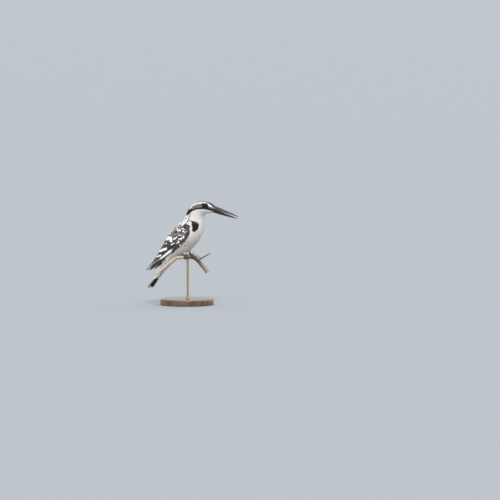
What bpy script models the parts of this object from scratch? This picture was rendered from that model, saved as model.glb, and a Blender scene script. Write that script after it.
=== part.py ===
"""A pied kingfisher, life size, gripping a short cut length of thorny branch on a display stand.

The bird leans forward with its bill tipped down, wings folded and tail drooped.
It faces -Y, its right side is -X and +Z is up. Sizes are in millimetres until place() turns a
point into metres. Lengths along the bird are (forward, right, up).
"""

import math

import bmesh
import bpy
import numpy as np
from mathutils import Vector

MM = 0.001
GAP = 0.35  # clearance between neighbouring solids
WELD = 1e-6  # metres

# Display stand
BASE_RADIUS = 55.0
BASE_HEIGHT = 12.0
BASE_BEVEL = 1.6
ROD_RADIUS = 2.2
ROD_STATION = 6.5  # where on the branch's route it is held

# Perch
PERCH_RADII = (2.7, 4.1)  # at the pale end and at the dark end
KNOTS = ((3.4, 0.35, 0.5), (4.7, 0.3, 0.4), (8.3, 0.5, 1.0), (10.2, 0.35, 0.5))

# Body: the centre line and the half sizes of its sections, from the tail coverts to the bill
# forward, up, half width, dorsal, ventral
BODY_STATIONS = (
    (-54.4, 67.4, 11.0, 4.0, 3.6),
    (-46.0, 80.5, 15.5, 8.0, 7.0),
    (-35.5, 96.0, 20.0, 15.5, 11.5),
    (-22.0, 115.0, 23.5, 26.5, 19.5),
    (-9.0, 131.0, 25.2, 30.0, 24.5),
    (3.0, 147.0, 24.8, 28.5, 26.5),
    (11.5, 160.5, 22.6, 23.5, 25.0),
    (16.5, 172.5, 19.6, 21.5, 20.5),
    (19.8, 184.0, 17.0, 19.3, 16.2),
    (24.0, 192.8, 15.8, 17.8, 16.2),
    (30.5, 198.4, 15.0, 14.6, 16.6),
    (38.5, 199.6, 14.0, 13.2, 15.0),
    (47.0, 198.2, 12.4, 12.3, 10.6),
    (53.6, 196.6, 10.2, 10.4, 8.0),
    (58.6, 195.4, 7.6, 7.6, 6.4),
)
TRUNK_SPAN = (0.0, 6.3)  # stations, counted along the table
NECK_SPAN = (6.3, 8.6)
HEAD_SPAN = (8.6, 14.0)

# Eyes
EYE_CENTRE = (43.2, 7.4, 204.8)
EYE_RADIUS = 5.0

# Bill
BILL_BASE = (59.8, 196.9)  # forward, up: the corner where the cutting edges leave the face
CULMEN_LENGTH = 55.6
GONYS_LENGTH = 53.0  # of the lower half
BILL_ANGLE = math.radians(-16.0)  # of the upper cutting edge
BILL_PARTING = math.radians(3.4)  # how far the lower half hangs open
BILL_HALF_WIDTH = 6.4
UPPER_DEPTH = 6.6
LOWER_DEPTH = 6.8
BILL_TIP = 0.55

# Folded wing: its own centre line, half sizes, the arc that it covers (degrees from the back's
# ridge) and its thickness, from the wrist to the tip
WING_STATIONS = (
    (12.5, 161.5, 22.6, 23.8, 66.0, 92.0, 1.2),
    (8.0, 154.5, 24.3, 27.2, 48.0, 108.0, 3.2),
    (0.5, 143.5, 25.8, 29.6, 36.0, 113.0, 4.4),
    (-10.0, 130.0, 26.2, 30.8, 31.0, 111.0, 4.6),
    (-22.0, 115.6, 25.0, 28.0, 29.0, 104.0, 4.4),
    (-36.0, 102.0, 22.0, 23.0, 27.0, 98.0, 3.8),
    (-51.5, 90.0, 18.0, 15.8, 28.0, 95.0, 3.2),
    (-67.0, 78.5, 15.0, 9.4, 32.0, 96.0, 2.4),
    (-84.5, 68.5, 12.8, 3.4, 44.0, 94.0, 1.2),
)
COVERTS_SPAN = (0.0, 3.4)
SECONDARIES_SPAN = (3.4, 5.3)
PRIMARIES_SPAN = (5.3, 8.0)

# Tail
TAIL_BASE = (-40.0, 87.0)  # forward, up
TAIL_ANGLE = math.radians(-128.5)  # its direction in the forward-up plane
TAIL_LENGTH = 73.0
TAIL_START = 25.2  # distance from the base where the coverts end
TAIL_HALF_WIDTH = (9.5, 21.0)  # where it leaves the coverts, and at its widest
TAIL_ARCH = 3.2  # how far the outer edges hang below the middle
TAIL_SHEET = 1.3
TAIL_STEP = 2.5  # how much shorter the outer feathers are
TAIL_MIDDLE_SHARE = 0.42  # of the half width that the middle feathers cover
TAIL_PARTING_SHARE = 0.06  # of the half width, where the outer feathers of each side begin

# Legs and feet
TARSUS_RADIUS = 1.9
TARSUS_LENGTH = {"right": 6.0, "left": 9.5}
HEEL_SETBACK = {"right": 0.0, "left": 3.0}  # how far the heel is behind the ankle
TOE_RADIUS = 1.55
CLAW_RADIUS = 1.1
CLAW_LEAD = 5.0  # degrees round the branch between a toe's end and its claw
CLAW_TURN = 38.0  # degrees that a claw covers
ANKLE_TURN = 98.0  # degrees round the branch from straight ahead, where the foot stands on it
TOE_PARTING = 24.0  # degrees from there to where the toes begin

# Colour, roughness and metallic value of each finish
FINISHES = {
    "white_plumage": ((0.78, 0.77, 0.74), 0.75, 0.0),
    "pied_plumage": ((0.34, 0.33, 0.32), 0.75, 0.0),
    "dark_plumage": ((0.035, 0.032, 0.034), 0.6, 0.0),
    "eye": ((0.02, 0.012, 0.01), 0.08, 0.0),
    "horn": ((0.03, 0.03, 0.035), 0.35, 0.0),
    "foot_skin": ((0.06, 0.055, 0.055), 0.6, 0.0),
    "bark": ((0.42, 0.34, 0.24), 0.85, 0.0),
    "wood": ((0.09, 0.055, 0.035), 0.4, 0.0),
    "brass": ((0.55, 0.42, 0.2), 0.3, 1.0),
}


def place(forward, right, up):
    """The point in metres, in the row frame, of lengths along the bird in millimetres."""
    return Vector((-right, -forward, up)) * MM


def smooth_row(rows, at):
    """The row of numbers at a position counted along rows, on a Catmull-Rom curve through them."""
    table = np.asarray(rows, float)
    last = len(table) - 1
    i = int(min(max(math.floor(at), 0), last - 1))
    f = at - i
    before = table[i - 1] if i > 0 else 2 * table[0] - table[1]
    after = table[i + 2] if i + 2 <= last else 2 * table[last] - table[last - 1]
    a, b = table[i], table[i + 1]
    return 0.5 * (
        2 * a + (b - before) * f
        + (2 * before - 5 * a + 4 * b - after) * f**2
        + (3 * a - before - 3 * b + after) * f**3
    )


def direction(rows, at):
    """The unit direction (forward, up) in which a station table runs at that position."""
    step = 0.02
    last = len(rows) - 1
    a = smooth_row(rows, max(at - step, 0.0))[:2]
    b = smooth_row(rows, min(at + step, last))[:2]
    return (b - a) / np.linalg.norm(b - a)


def paint(made, finish):
    """Gives an object its own Principled material in one of the finishes."""
    colour, roughness, metallic = FINISHES[finish]
    material = bpy.data.materials.new(f"{made.name}_{finish}")
    material.use_nodes = True
    shader = material.node_tree.nodes["Principled BSDF"]
    shader.inputs["Base Color"].default_value = (*colour, 1.0)
    shader.inputs["Roughness"].default_value = roughness
    shader.inputs["Metallic"].default_value = metallic
    made.data.materials.append(material)


def keep(bm, name, finish, collection):
    """Turns a bmesh with its faces outwards into a smooth-shaded object of that name."""
    bmesh.ops.recalc_face_normals(bm, faces=bm.faces)
    if bm.calc_volume(signed=True) < 0:
        bmesh.ops.reverse_faces(bm, faces=bm.faces)
    mesh = bpy.data.meshes.new(name)
    bm.to_mesh(mesh)
    bm.free()
    mesh.shade_smooth()
    mesh.set_sharp_from_angle(angle=math.radians(40))
    made = bpy.data.objects.new(name, mesh)
    collection.objects.link(made)
    paint(made, finish)
    return made


def loft(name, rings, finish, collection):
    """One closed solid through rings that all have the same number of points."""
    bm = bmesh.new()
    made = [[bm.verts.new(point) for point in ring] for ring in rings]
    count = len(made[0])
    for lower, upper in zip(made, made[1:]):
        for i in range(count):
            j = (i + 1) % count
            bm.faces.new((lower[i], lower[j], upper[j], upper[i]))
    bm.faces.new(made[0])
    bm.faces.new(made[-1])
    return keep(bm, name, finish, collection)


# ---------------------------------------------------------------- body


def body_ring(at, points, shift=0.0):
    """The body's section at a station: an egg shape square to the centre line, moved along by shift."""
    forward, up, width, dorsal, ventral = smooth_row(BODY_STATIONS, at)
    along = direction(BODY_STATIONS, at)
    back = np.array((-along[1], along[0]))
    centre = np.array((forward, up)) + along * shift
    ring = []
    for turn in np.linspace(0, 2 * math.pi, points, endpoint=False):
        depth = math.cos(turn) * (dorsal if math.cos(turn) > 0 else ventral)
        spot = centre + back * depth
        ring.append(place(spot[0], width * math.sin(turn), spot[1]))
    return ring


def body_length(name, span, sections, points, collection):
    """One named length of the body, cut square at both ends, with the gap before it."""
    rings = []
    first = span[0] > 0
    for i, at in enumerate(np.linspace(*span, sections)):
        rings.append(body_ring(at, points, GAP if first and i == 0 else 0.0))
    return loft(name, rings, "white_plumage", collection)


def ball(name, centre, radius, segments, finish, collection):
    """A sphere with its poles to the bird's sides."""
    bm = bmesh.new()
    bmesh.ops.create_uvsphere(bm, u_segments=segments, v_segments=segments // 2, radius=radius * MM)
    bmesh.ops.rotate(
        bm,
        verts=bm.verts,
        matrix=Vector((0, 0, 1)).rotation_difference(Vector((1, 0, 0))).to_matrix(),
    )
    made = keep(bm, name, finish, collection)
    made.location = place(*centre)
    return made


def cut(target, cutter):
    """Takes cutter's volume out of target."""
    modifier = target.modifiers.new("cut", "BOOLEAN")
    modifier.operation = "DIFFERENCE"
    modifier.object = cutter


def make_head(parts, cutters):
    """The head with its eye sockets, and the two eyes."""
    head = body_length("head", HEAD_SPAN, 15, 24, parts)
    forward, right, up = EYE_CENTRE
    for side, name in ((1, "right"), (-1, "left")):
        centre = (forward, side * right, up)
        ball(f"eye_{name}", centre, EYE_RADIUS, 16, "eye", parts)
        socket = ball(f"socket_{name}", centre, EYE_RADIUS + GAP, 16, "eye", cutters)
        cut(head, socket)


# ---------------------------------------------------------------- bill


def mandible_ring(centre, along, half_width, depth, side, points):
    """A half of the bill at one place: a ridge on one side, flat where the halves meet."""
    across = np.array((-along[1], along[0]))
    ring = []
    for turn in np.linspace(0, 2 * math.pi, points, endpoint=False):
        rise = math.cos(turn)
        height = depth * rise**1.15 if rise > 0 else 0.0
        spot = np.array(centre) + across * (side * height)
        ring.append(place(spot[0], half_width * math.sin(turn), spot[1]))
    return ring


def make_mandible(name, side, length, angle, depth, collection):
    """Half of a dagger bill: nearly straight, deepest at the face, drawn to a sharp tip."""
    along = np.array((math.cos(angle), math.sin(angle)))
    across = np.array((-along[1], along[0]))
    start = np.array(BILL_BASE) + along * GAP + across * (side * GAP)
    rings = []
    for share in np.linspace(0, 1, 11):
        taper = (1 - share) ** 0.86
        bow = math.sin(math.pi * share) * 0.5
        centre = start + along * (length * share)
        rings.append(
            mandible_ring(
                centre,
                along,
                BILL_TIP + (BILL_HALF_WIDTH - BILL_TIP) * taper**1.15,
                BILL_TIP + (depth - BILL_TIP) * taper + bow,
                side,
                14,
            )
        )
    return loft(name, rings, "horn", collection)


def make_bill(parts):
    """The two halves of the bill, parted a little."""
    lower_angle = BILL_ANGLE - BILL_PARTING
    make_mandible("bill_upper", 1, CULMEN_LENGTH, BILL_ANGLE, UPPER_DEPTH, parts)
    make_mandible("bill_lower", -1, GONYS_LENGTH, lower_angle, LOWER_DEPTH, parts)


# ---------------------------------------------------------------- wings


def wing_ring(at, side, points, shift=0.0):
    """The folded wing's section at a station: a thin crescent that lies on the bird's flank."""
    row = smooth_row(WING_STATIONS, at)
    forward, up, width, dorsal, high, low, thickness = row
    along = direction(WING_STATIONS, at)
    back = np.array((along[1], -along[0]))
    centre = np.array((forward, up)) + along * shift
    outer, inner = [], []
    for share in np.linspace(0, 1, points):
        turn = math.radians(high + (low - high) * share)
        body = max(0.35 * thickness, 0.7, thickness * math.sin(math.pi * (0.12 + 0.76 * share)))
        for ring, lift in ((outer, GAP + body), (inner, GAP)):
            spot = centre + back * ((dorsal + lift) * math.cos(turn))
            ring.append(place(spot[0], side * (width + lift) * math.sin(turn), spot[1]))
    return outer + inner[::-1]


def make_wings(parts):
    """Each folded wing in three lengths: coverts, secondaries and primaries."""
    lengths = (
        ("coverts", COVERTS_SPAN, 9, "pied_plumage"),
        ("secondaries", SECONDARIES_SPAN, 6, "pied_plumage"),
        ("primaries", PRIMARIES_SPAN, 9, "dark_plumage"),
    )
    for side, side_name in ((1, "right"), (-1, "left")):
        for name, span, sections, finish in lengths:
            rings = []
            for i, at in enumerate(np.linspace(*span, sections)):
                step = GAP if span[0] > 0 and i == 0 else 0.0
                rings.append(wing_ring(at, side, 10, step))
            loft(f"wing_{side_name}_{name}", rings, finish, parts)


# ---------------------------------------------------------------- tail


def tail_point(distance, right, height):
    """A point of the tail, from its distance along it, to the right and above its middle plane."""
    along = np.array((math.cos(TAIL_ANGLE), math.sin(TAIL_ANGLE)))
    above = np.array((along[1], -along[0]))
    spot = np.array(TAIL_BASE) + along * distance + above * height
    return place(spot[0], right, spot[1])


def tail_half_width(distance):
    """Half the fan's width at a distance from its base."""
    share = (distance - TAIL_START) / (TAIL_LENGTH - TAIL_START)
    narrow, wide = TAIL_HALF_WIDTH
    return narrow + (wide - narrow) * min(1.0, share * 1.15) ** 0.8


def make_tail_blade(name, inner, outer, lift, length, collection):
    """Part of the fan between two shares of its half width, with a rounded end."""
    rings = []
    for share in np.concatenate((np.linspace(0, 0.86, 7), (0.93, 0.975, 1.0))):
        distance = TAIL_START + GAP + (length - TAIL_START - GAP) * share
        half = tail_half_width(distance)
        middle, span = (inner + outer) / 2 * half, (outer - inner) / 2 * half
        span *= math.sqrt(max(0.03, 1 - max(0.0, (share - 0.86) / 0.14) ** 2))
        top, bottom = [], []
        for across in np.linspace(-1, 1, 7):
            right = middle + span * across
            arch = -TAIL_ARCH * (right / TAIL_HALF_WIDTH[1]) ** 2
            thick = TAIL_SHEET * (1 - 0.45 * abs(across) ** 3)
            top.append(tail_point(distance, right, lift + arch + thick / 2))
            bottom.append(tail_point(distance, right, lift + arch - thick / 2))
        rings.append(top + bottom[::-1])
    return loft(name, rings, "dark_plumage", collection)


def make_tail(parts):
    """The middle feathers above, and the outer feathers of each side below them."""
    step = TAIL_SHEET + GAP
    make_tail_blade("tail_middle", -TAIL_MIDDLE_SHARE, TAIL_MIDDLE_SHARE, step, TAIL_LENGTH, parts)
    for side, name in ((1, "right"), (-1, "left")):
        inner, outer = sorted((side * TAIL_PARTING_SHARE, side * 1.0))
        make_tail_blade(f"tail_{name}", inner, outer, 0.0, TAIL_LENGTH - TAIL_STEP, parts)


# ---------------------------------------------------------------- perch, legs and feet

# The branch's centre line (forward, right, up), from its pale end past the bird's right foot, over
# the knot under its left foot, and down to the dark end
PERCH_ROUTE = (
    (-49.0, 55.0, 65.0),
    (-41.5, 48.0, 73.0),
    (-33.5, 41.0, 79.6),
    (-25.6, 34.0, 88.0),
    (-17.4, 26.0, 96.2),
    (-9.6, 17.0, 98.2),
    (-2.4, 8.0, 98.2),
    (5.0, -8.0, 98.4),
    (10.3, -14.2, 96.6),
    (15.8, -17.4, 91.6),
    (22.4, -19.4, 84.2),
    (30.1, -21.0, 74.8),
    (37.0, -22.0, 66.0),
)
FOOT_STATIONS = {"right": 6.0, "left": 7.0}  # where on the route each foot grips
# Thorns and a side twig: root, tip, and the radius at each
THORNS = (
    ((19.0, -16.8, 90.5), (43.0, -20.5, 105.0), 1.6, 1.0),
    ((24.7, -17.7, 93.9), (4.5, -15.5, 109.0), 0.9, 0.3),
    ((4.0, -6.5, 96.5), (-6.5, -8.5, 84.5), 1.3, 0.3),
    ((-9.0, 16.5, 96.5), (-9.4, 17.5, 88.0), 1.2, 0.3),
    ((-24.5, 33.0, 88.0), (-22.5, 34.5, 80.0), 1.3, 0.3),
    ((-41.0, 47.5, 73.5), (-47.0, 40.5, 75.5), 1.2, 0.3),
    ((30.0, -20.0, 75.0), (36.5, -29.0, 79.0), 1.3, 0.3),
    ((12.0, -13.5, 95.0), (9.5, -23.0, 98.0), 1.2, 0.3),
)


def perch_at(at):
    """The branch's centre in millimetres along the bird at a position counted along its route."""
    return smooth_row(PERCH_ROUTE, at)


def perch_axes(at):
    """Three unit vectors (forward, right, up): along the branch, ahead of it and out of its top."""
    step = 0.05
    last = len(PERCH_ROUTE) - 1
    along = perch_at(min(at + step, last)) - perch_at(max(at - step, 0))
    along /= np.linalg.norm(along)
    ahead = np.cross(along, (0.0, 0.0, 1.0))
    ahead *= math.copysign(1.0, ahead[0]) / np.linalg.norm(ahead)
    top = np.cross(ahead, along)
    top *= math.copysign(1.0, top[2])
    return along, ahead, top


def perch_radius(at):
    """The branch's radius at a position: slim at the pale end, swollen at its knots."""
    share = at / (len(PERCH_ROUTE) - 1)
    swell = sum(size * math.exp(-(((at - where) / reach) ** 2)) for where, reach, size in KNOTS)
    return PERCH_RADII[0] + (PERCH_RADII[1] - PERCH_RADII[0]) * share**1.6 + swell


def tube(name, centres, radii, resolution, finish, collection):
    """A round solid along a line of centres, with its own radius at each: a bevelled curve's mesh."""
    curve = bpy.data.curves.new(name, "CURVE")
    curve.dimensions = "3D"
    curve.bevel_depth = MM
    curve.bevel_resolution = resolution
    curve.use_fill_caps = True
    spline = curve.splines.new("POLY")
    spline.points.add(len(centres) - 1)
    for point, centre, radius in zip(spline.points, centres, radii):
        point.co = (*place(*centre), 1.0)
        point.radius = radius
    guide = bpy.data.objects.new(f"{name}_line", curve)
    collection.objects.link(guide)
    evaluated = guide.evaluated_get(bpy.context.evaluated_depsgraph_get())
    bm = bmesh.new()
    bm.from_mesh(bpy.data.meshes.new_from_object(evaluated))
    bpy.data.objects.remove(guide)
    bmesh.ops.remove_doubles(bm, verts=bm.verts, dist=WELD)
    return keep(bm, name, finish, collection)


def make_perch(parts, cutters):
    """The cut branch with its thorns."""
    positions = np.linspace(0, len(PERCH_ROUTE) - 1, 33)
    branch = tube(
        "perch_branch",
        [perch_at(at) for at in positions],
        [perch_radius(at) for at in positions],
        5,
        "bark",
        parts,
    )
    for number, (root, tip, root_radius, tip_radius) in enumerate(THORNS, 1):
        root, tip = np.array(root), np.array(tip)
        shares = np.linspace(0, 1, 4)
        thorn = tube(
            f"thorn_{number}",
            [root + (tip - root) * share for share in shares],
            [root_radius + (tip_radius - root_radius) * share for share in shares],
            2,
            "bark",
            cutters,
        )
        modifier = branch.modifiers.new(f"thorn_{number}", "BOOLEAN")
        modifier.operation = "UNION"
        modifier.object = thorn
    return branch


def grip_arc(foot_at, offsets, turns, clearance):
    """Points round the branch near a foot, each at its own offset along it and its own angle."""
    pace = np.linalg.norm(perch_at(foot_at + 0.5) - perch_at(foot_at - 0.5))
    _, ahead, top = perch_axes(foot_at)
    points = []
    for offset, turn in zip(offsets, turns):
        at = foot_at + offset / pace
        out = ahead * math.cos(math.radians(turn)) + top * math.sin(math.radians(turn))
        points.append(perch_at(at) + out * (perch_radius(at) + clearance))
    return points


def make_toe(name, foot_at, offset, splay, start, end, parts):
    """A toe that wraps the branch, and the claw that carries its curve on."""
    clearance = TOE_RADIUS + 2 * GAP
    steps = 8
    offsets = np.linspace(offset, offset + splay, steps)
    centres = grip_arc(foot_at, offsets, np.linspace(start, end, steps), clearance)
    radii = np.linspace(TOE_RADIUS, TOE_RADIUS * 0.8, steps)
    tube(name, centres, radii, 2, "foot_skin", parts)
    sign = math.copysign(1.0, end - start)
    first = end + sign * CLAW_LEAD
    turns = np.linspace(first, first + sign * CLAW_TURN, 5)
    claw = grip_arc(foot_at, [offset + splay] * 5, turns, clearance)
    claw_radii = np.linspace(CLAW_RADIUS, 0.25, 5)
    tube(name.replace("toe", "claw"), claw, claw_radii, 2, "horn", parts)


def make_feet(trunk, parts, cutters):
    """On each side a tarsus that goes up into the trunk, three toes forward, one back, and claws."""
    spacing = 2 * TOE_RADIUS + 1.8 * GAP
    for side, name in ((1, "right"), (-1, "left")):
        foot_at = FOOT_STATIONS[name]
        toes = (
            ("toe_inner", -side * spacing, -side * 1.2, ANKLE_TURN - TOE_PARTING, -34.0),
            ("toe_middle", 0.0, 0.0, ANKLE_TURN - TOE_PARTING, -52.0),
            ("toe_outer", side * spacing, side * 0.8, ANKLE_TURN - TOE_PARTING, -40.0),
            ("toe_hind", 0.0, 0.0, ANKLE_TURN + TOE_PARTING, 206.0),
        )
        for toe, offset, splay, start, end in toes:
            # Positive offsets run along the route, towards the bird's left
            make_toe(f"{toe}_{name}", foot_at, -offset, -splay, start, end, parts)
        along, ahead, top = perch_axes(foot_at)
        up = ahead * math.cos(math.radians(ANKLE_TURN)) + top * math.sin(math.radians(ANKLE_TURN))
        ankle = perch_at(foot_at) + up * (perch_radius(foot_at) + 2 * GAP)
        heel = ankle + up * TARSUS_LENGTH[name] - ahead * HEEL_SETBACK[name]
        centres = [ankle + (heel - ankle) * s for s in (0.0, 0.5, 1.0)]
        radii = [TARSUS_RADIUS * 0.8, TARSUS_RADIUS * 0.8, TARSUS_RADIUS]
        tube(f"tarsus_{name}", centres, radii, 3, "foot_skin", parts)
        pocket_line = [centres[0] - up * 2, centres[1], centres[2] + up * GAP]
        pocket_radii = [r + GAP for r in radii]
        pocket = tube(f"pocket_{name}", pocket_line, pocket_radii, 3, "foot_skin", cutters)
        cut(trunk, pocket)


# ---------------------------------------------------------------- stand


def make_stand(parts):
    """The flat base and the rod up to the branch."""
    rod_foot = perch_at(ROD_STATION)
    rod_top = rod_foot[2] - perch_radius(ROD_STATION) - GAP
    base = disc("stand_base", (0.0, 0.0, 0.0), BASE_RADIUS, BASE_HEIGHT, 48, "wood", parts)
    rims = base.modifiers.new("rims", "BEVEL")
    rims.width = BASE_BEVEL * MM
    rims.segments = 2
    rims.limit_method = "ANGLE"
    foot = BASE_HEIGHT + GAP
    disc("stand_rod", (rod_foot[0], rod_foot[1], foot), ROD_RADIUS, rod_top - foot, 20, "brass", parts)


def disc(name, foot, radius, height, segments, finish, collection):
    """An upright cylinder that stands on foot."""
    bm = bmesh.new()
    bmesh.ops.create_cone(
        bm,
        cap_ends=True,
        segments=segments,
        radius1=radius * MM,
        radius2=radius * MM,
        depth=height * MM,
    )
    bmesh.ops.translate(bm, verts=bm.verts, vec=(0, 0, height * MM / 2))
    made = keep(bm, name, finish, collection)
    made.location = place(*foot)
    return made


def main():
    """Clears the scene and builds the bird, its perch and its stand."""
    for old in list(bpy.data.objects):
        bpy.data.objects.remove(old)
    parts = bpy.data.collections.new("pied_kingfisher")
    cutters = bpy.data.collections.new("cutters")
    for collection in (parts, cutters):
        bpy.context.scene.collection.children.link(collection)
    trunk = body_length("trunk", TRUNK_SPAN, 20, 28, parts)
    body_length("neck", NECK_SPAN, 7, 28, parts)
    make_head(parts, cutters)
    make_bill(parts)
    make_wings(parts)
    make_tail(parts)
    make_perch(parts, cutters)
    make_feet(trunk, parts, cutters)
    make_stand(parts)
    for cutter in cutters.objects:
        cutter.hide_render = True
        cutter.display_type = "WIRE"


main()
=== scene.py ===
"""The looks of a life-size pied kingfisher on a cut thorny branch and a display stand.

Lengths along the bird are (forward, right, up) in millimetres until metres() turns them into the
row frame, where the bird faces -Y and its right side is -X. Its outer form is read from the
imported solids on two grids: one round the body's own line and one round the folded wings' line.
Every feather is a thin closed vane laid on one of those grids.
"""

import logging
import math
from dataclasses import dataclass, field, replace
from enum import Enum

import bmesh
import bpy
import numpy as np
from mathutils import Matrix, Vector
from mathutils.bvhtree import BVHTree
from mathutils.kdtree import KDTree

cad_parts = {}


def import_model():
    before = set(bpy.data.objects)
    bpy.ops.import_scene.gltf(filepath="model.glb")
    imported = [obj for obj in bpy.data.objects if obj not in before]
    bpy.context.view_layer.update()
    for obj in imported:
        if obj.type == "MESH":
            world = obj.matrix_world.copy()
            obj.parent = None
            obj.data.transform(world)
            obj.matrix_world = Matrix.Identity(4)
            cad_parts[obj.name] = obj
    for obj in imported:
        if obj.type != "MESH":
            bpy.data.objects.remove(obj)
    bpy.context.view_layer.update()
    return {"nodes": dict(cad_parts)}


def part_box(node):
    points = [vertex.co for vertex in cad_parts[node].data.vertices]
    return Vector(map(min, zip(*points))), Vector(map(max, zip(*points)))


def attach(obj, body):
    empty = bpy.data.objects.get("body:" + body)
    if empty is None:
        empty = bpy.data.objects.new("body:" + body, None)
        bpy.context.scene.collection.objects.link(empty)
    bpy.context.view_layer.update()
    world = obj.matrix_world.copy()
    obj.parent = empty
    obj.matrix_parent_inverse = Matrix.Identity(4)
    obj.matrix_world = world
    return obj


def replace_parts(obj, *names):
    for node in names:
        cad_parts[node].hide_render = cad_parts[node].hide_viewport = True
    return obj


LOG = logging.getLogger("kingfisher")
Array = np.ndarray
Rng = np.random.Generator
Table = tuple[tuple[float, ...], ...]
Pair, Triple = tuple[float, float], tuple[float, float, float]
Material, Mesh, Piece = bpy.types.Material, bpy.types.Mesh, bpy.types.Object
Node, Socket = bpy.types.Node, bpy.types.NodeSocket
Colour = tuple[float, float, float, float]
Value = float | tuple[float, ...] | Socket
Inputs = dict[int | str, Value]
MM = 0.001
SIDES = {"right": 1.0, "left": -1.0}
BODY = "root"
RAY = 70.0  # from where the solids are looked at, in millimetres from the line through them


class Slot(Enum):
    """Names of material slots."""

    WHITE = "white_plumage"
    PIED = "pied_plumage"
    DARK = "dark_plumage"
    EYE = "eye"
    HORN = "horn"
    FOOT = "foot_skin"
    BARK = "bark"
    WOOD = "wood"
    BRASS = "brass"


# --- numbers and lines


def metres(points: Array) -> Array:
    """Row-frame metres of (forward, right, up) millimetres."""
    return np.stack((-points[..., 1], -points[..., 0], points[..., 2]), -1) * MM


def millimetres(points: Array) -> Array:
    """(forward, right, up) millimetres of row-frame metres."""
    return np.stack((-points[..., 1], -points[..., 0], points[..., 2]), -1) / MM


def unit(vectors: Array) -> Array:
    """The vectors at length one."""
    return vectors / np.maximum(np.linalg.norm(vectors, axis=-1, keepdims=True), 1e-9)


def ease(low: float, high: float, value: Array) -> Array:
    """A smooth step from 0 at low to 1 at high."""
    share = np.clip((value - low) / (high - low), 0.0, 1.0)
    return share * share * (3 - 2 * share)


def blend(colour: Array, other: Array, share: Array) -> Array:
    """A colour moved towards another by a share at each place."""
    return colour + (other - colour) * share[..., None]


def circle(sides: int) -> Array:
    """Angles spread evenly round a circle."""
    return np.linspace(0, 2 * math.pi, sides, endpoint=False)


def near_tree(points: Array) -> KDTree:
    """A search tree for the points nearest to a place.

    Args:
        points: one a row.

    Returns:
        The tree.
    """
    tree = KDTree(len(points))
    for i, point in enumerate(points):
        tree.insert(point, i)
    tree.balance()
    return tree


def spline(points: Array, at: Array) -> Array:
    """Points on a smooth curve through its control points.

    Args:
        points: the control points, one a row.
        at: positions counted along the control points.

    Returns:
        One row for each position.
    """
    padded = np.vstack((2 * points[0] - points[1], points, 2 * points[-1] - points[-2]))
    i = np.clip(np.floor(at).astype(int), 0, len(points) - 2)
    f = (at - i)[:, None]
    a, b, c, d = (padded[i + k] for k in range(4))
    return 0.5 * (
        2 * b + (c - a) * f + (2 * a - 5 * b + 4 * c - d) * f**2 + (3 * (b - c) + d - a) * f**3
    )


# --- the bird's outer form


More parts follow.
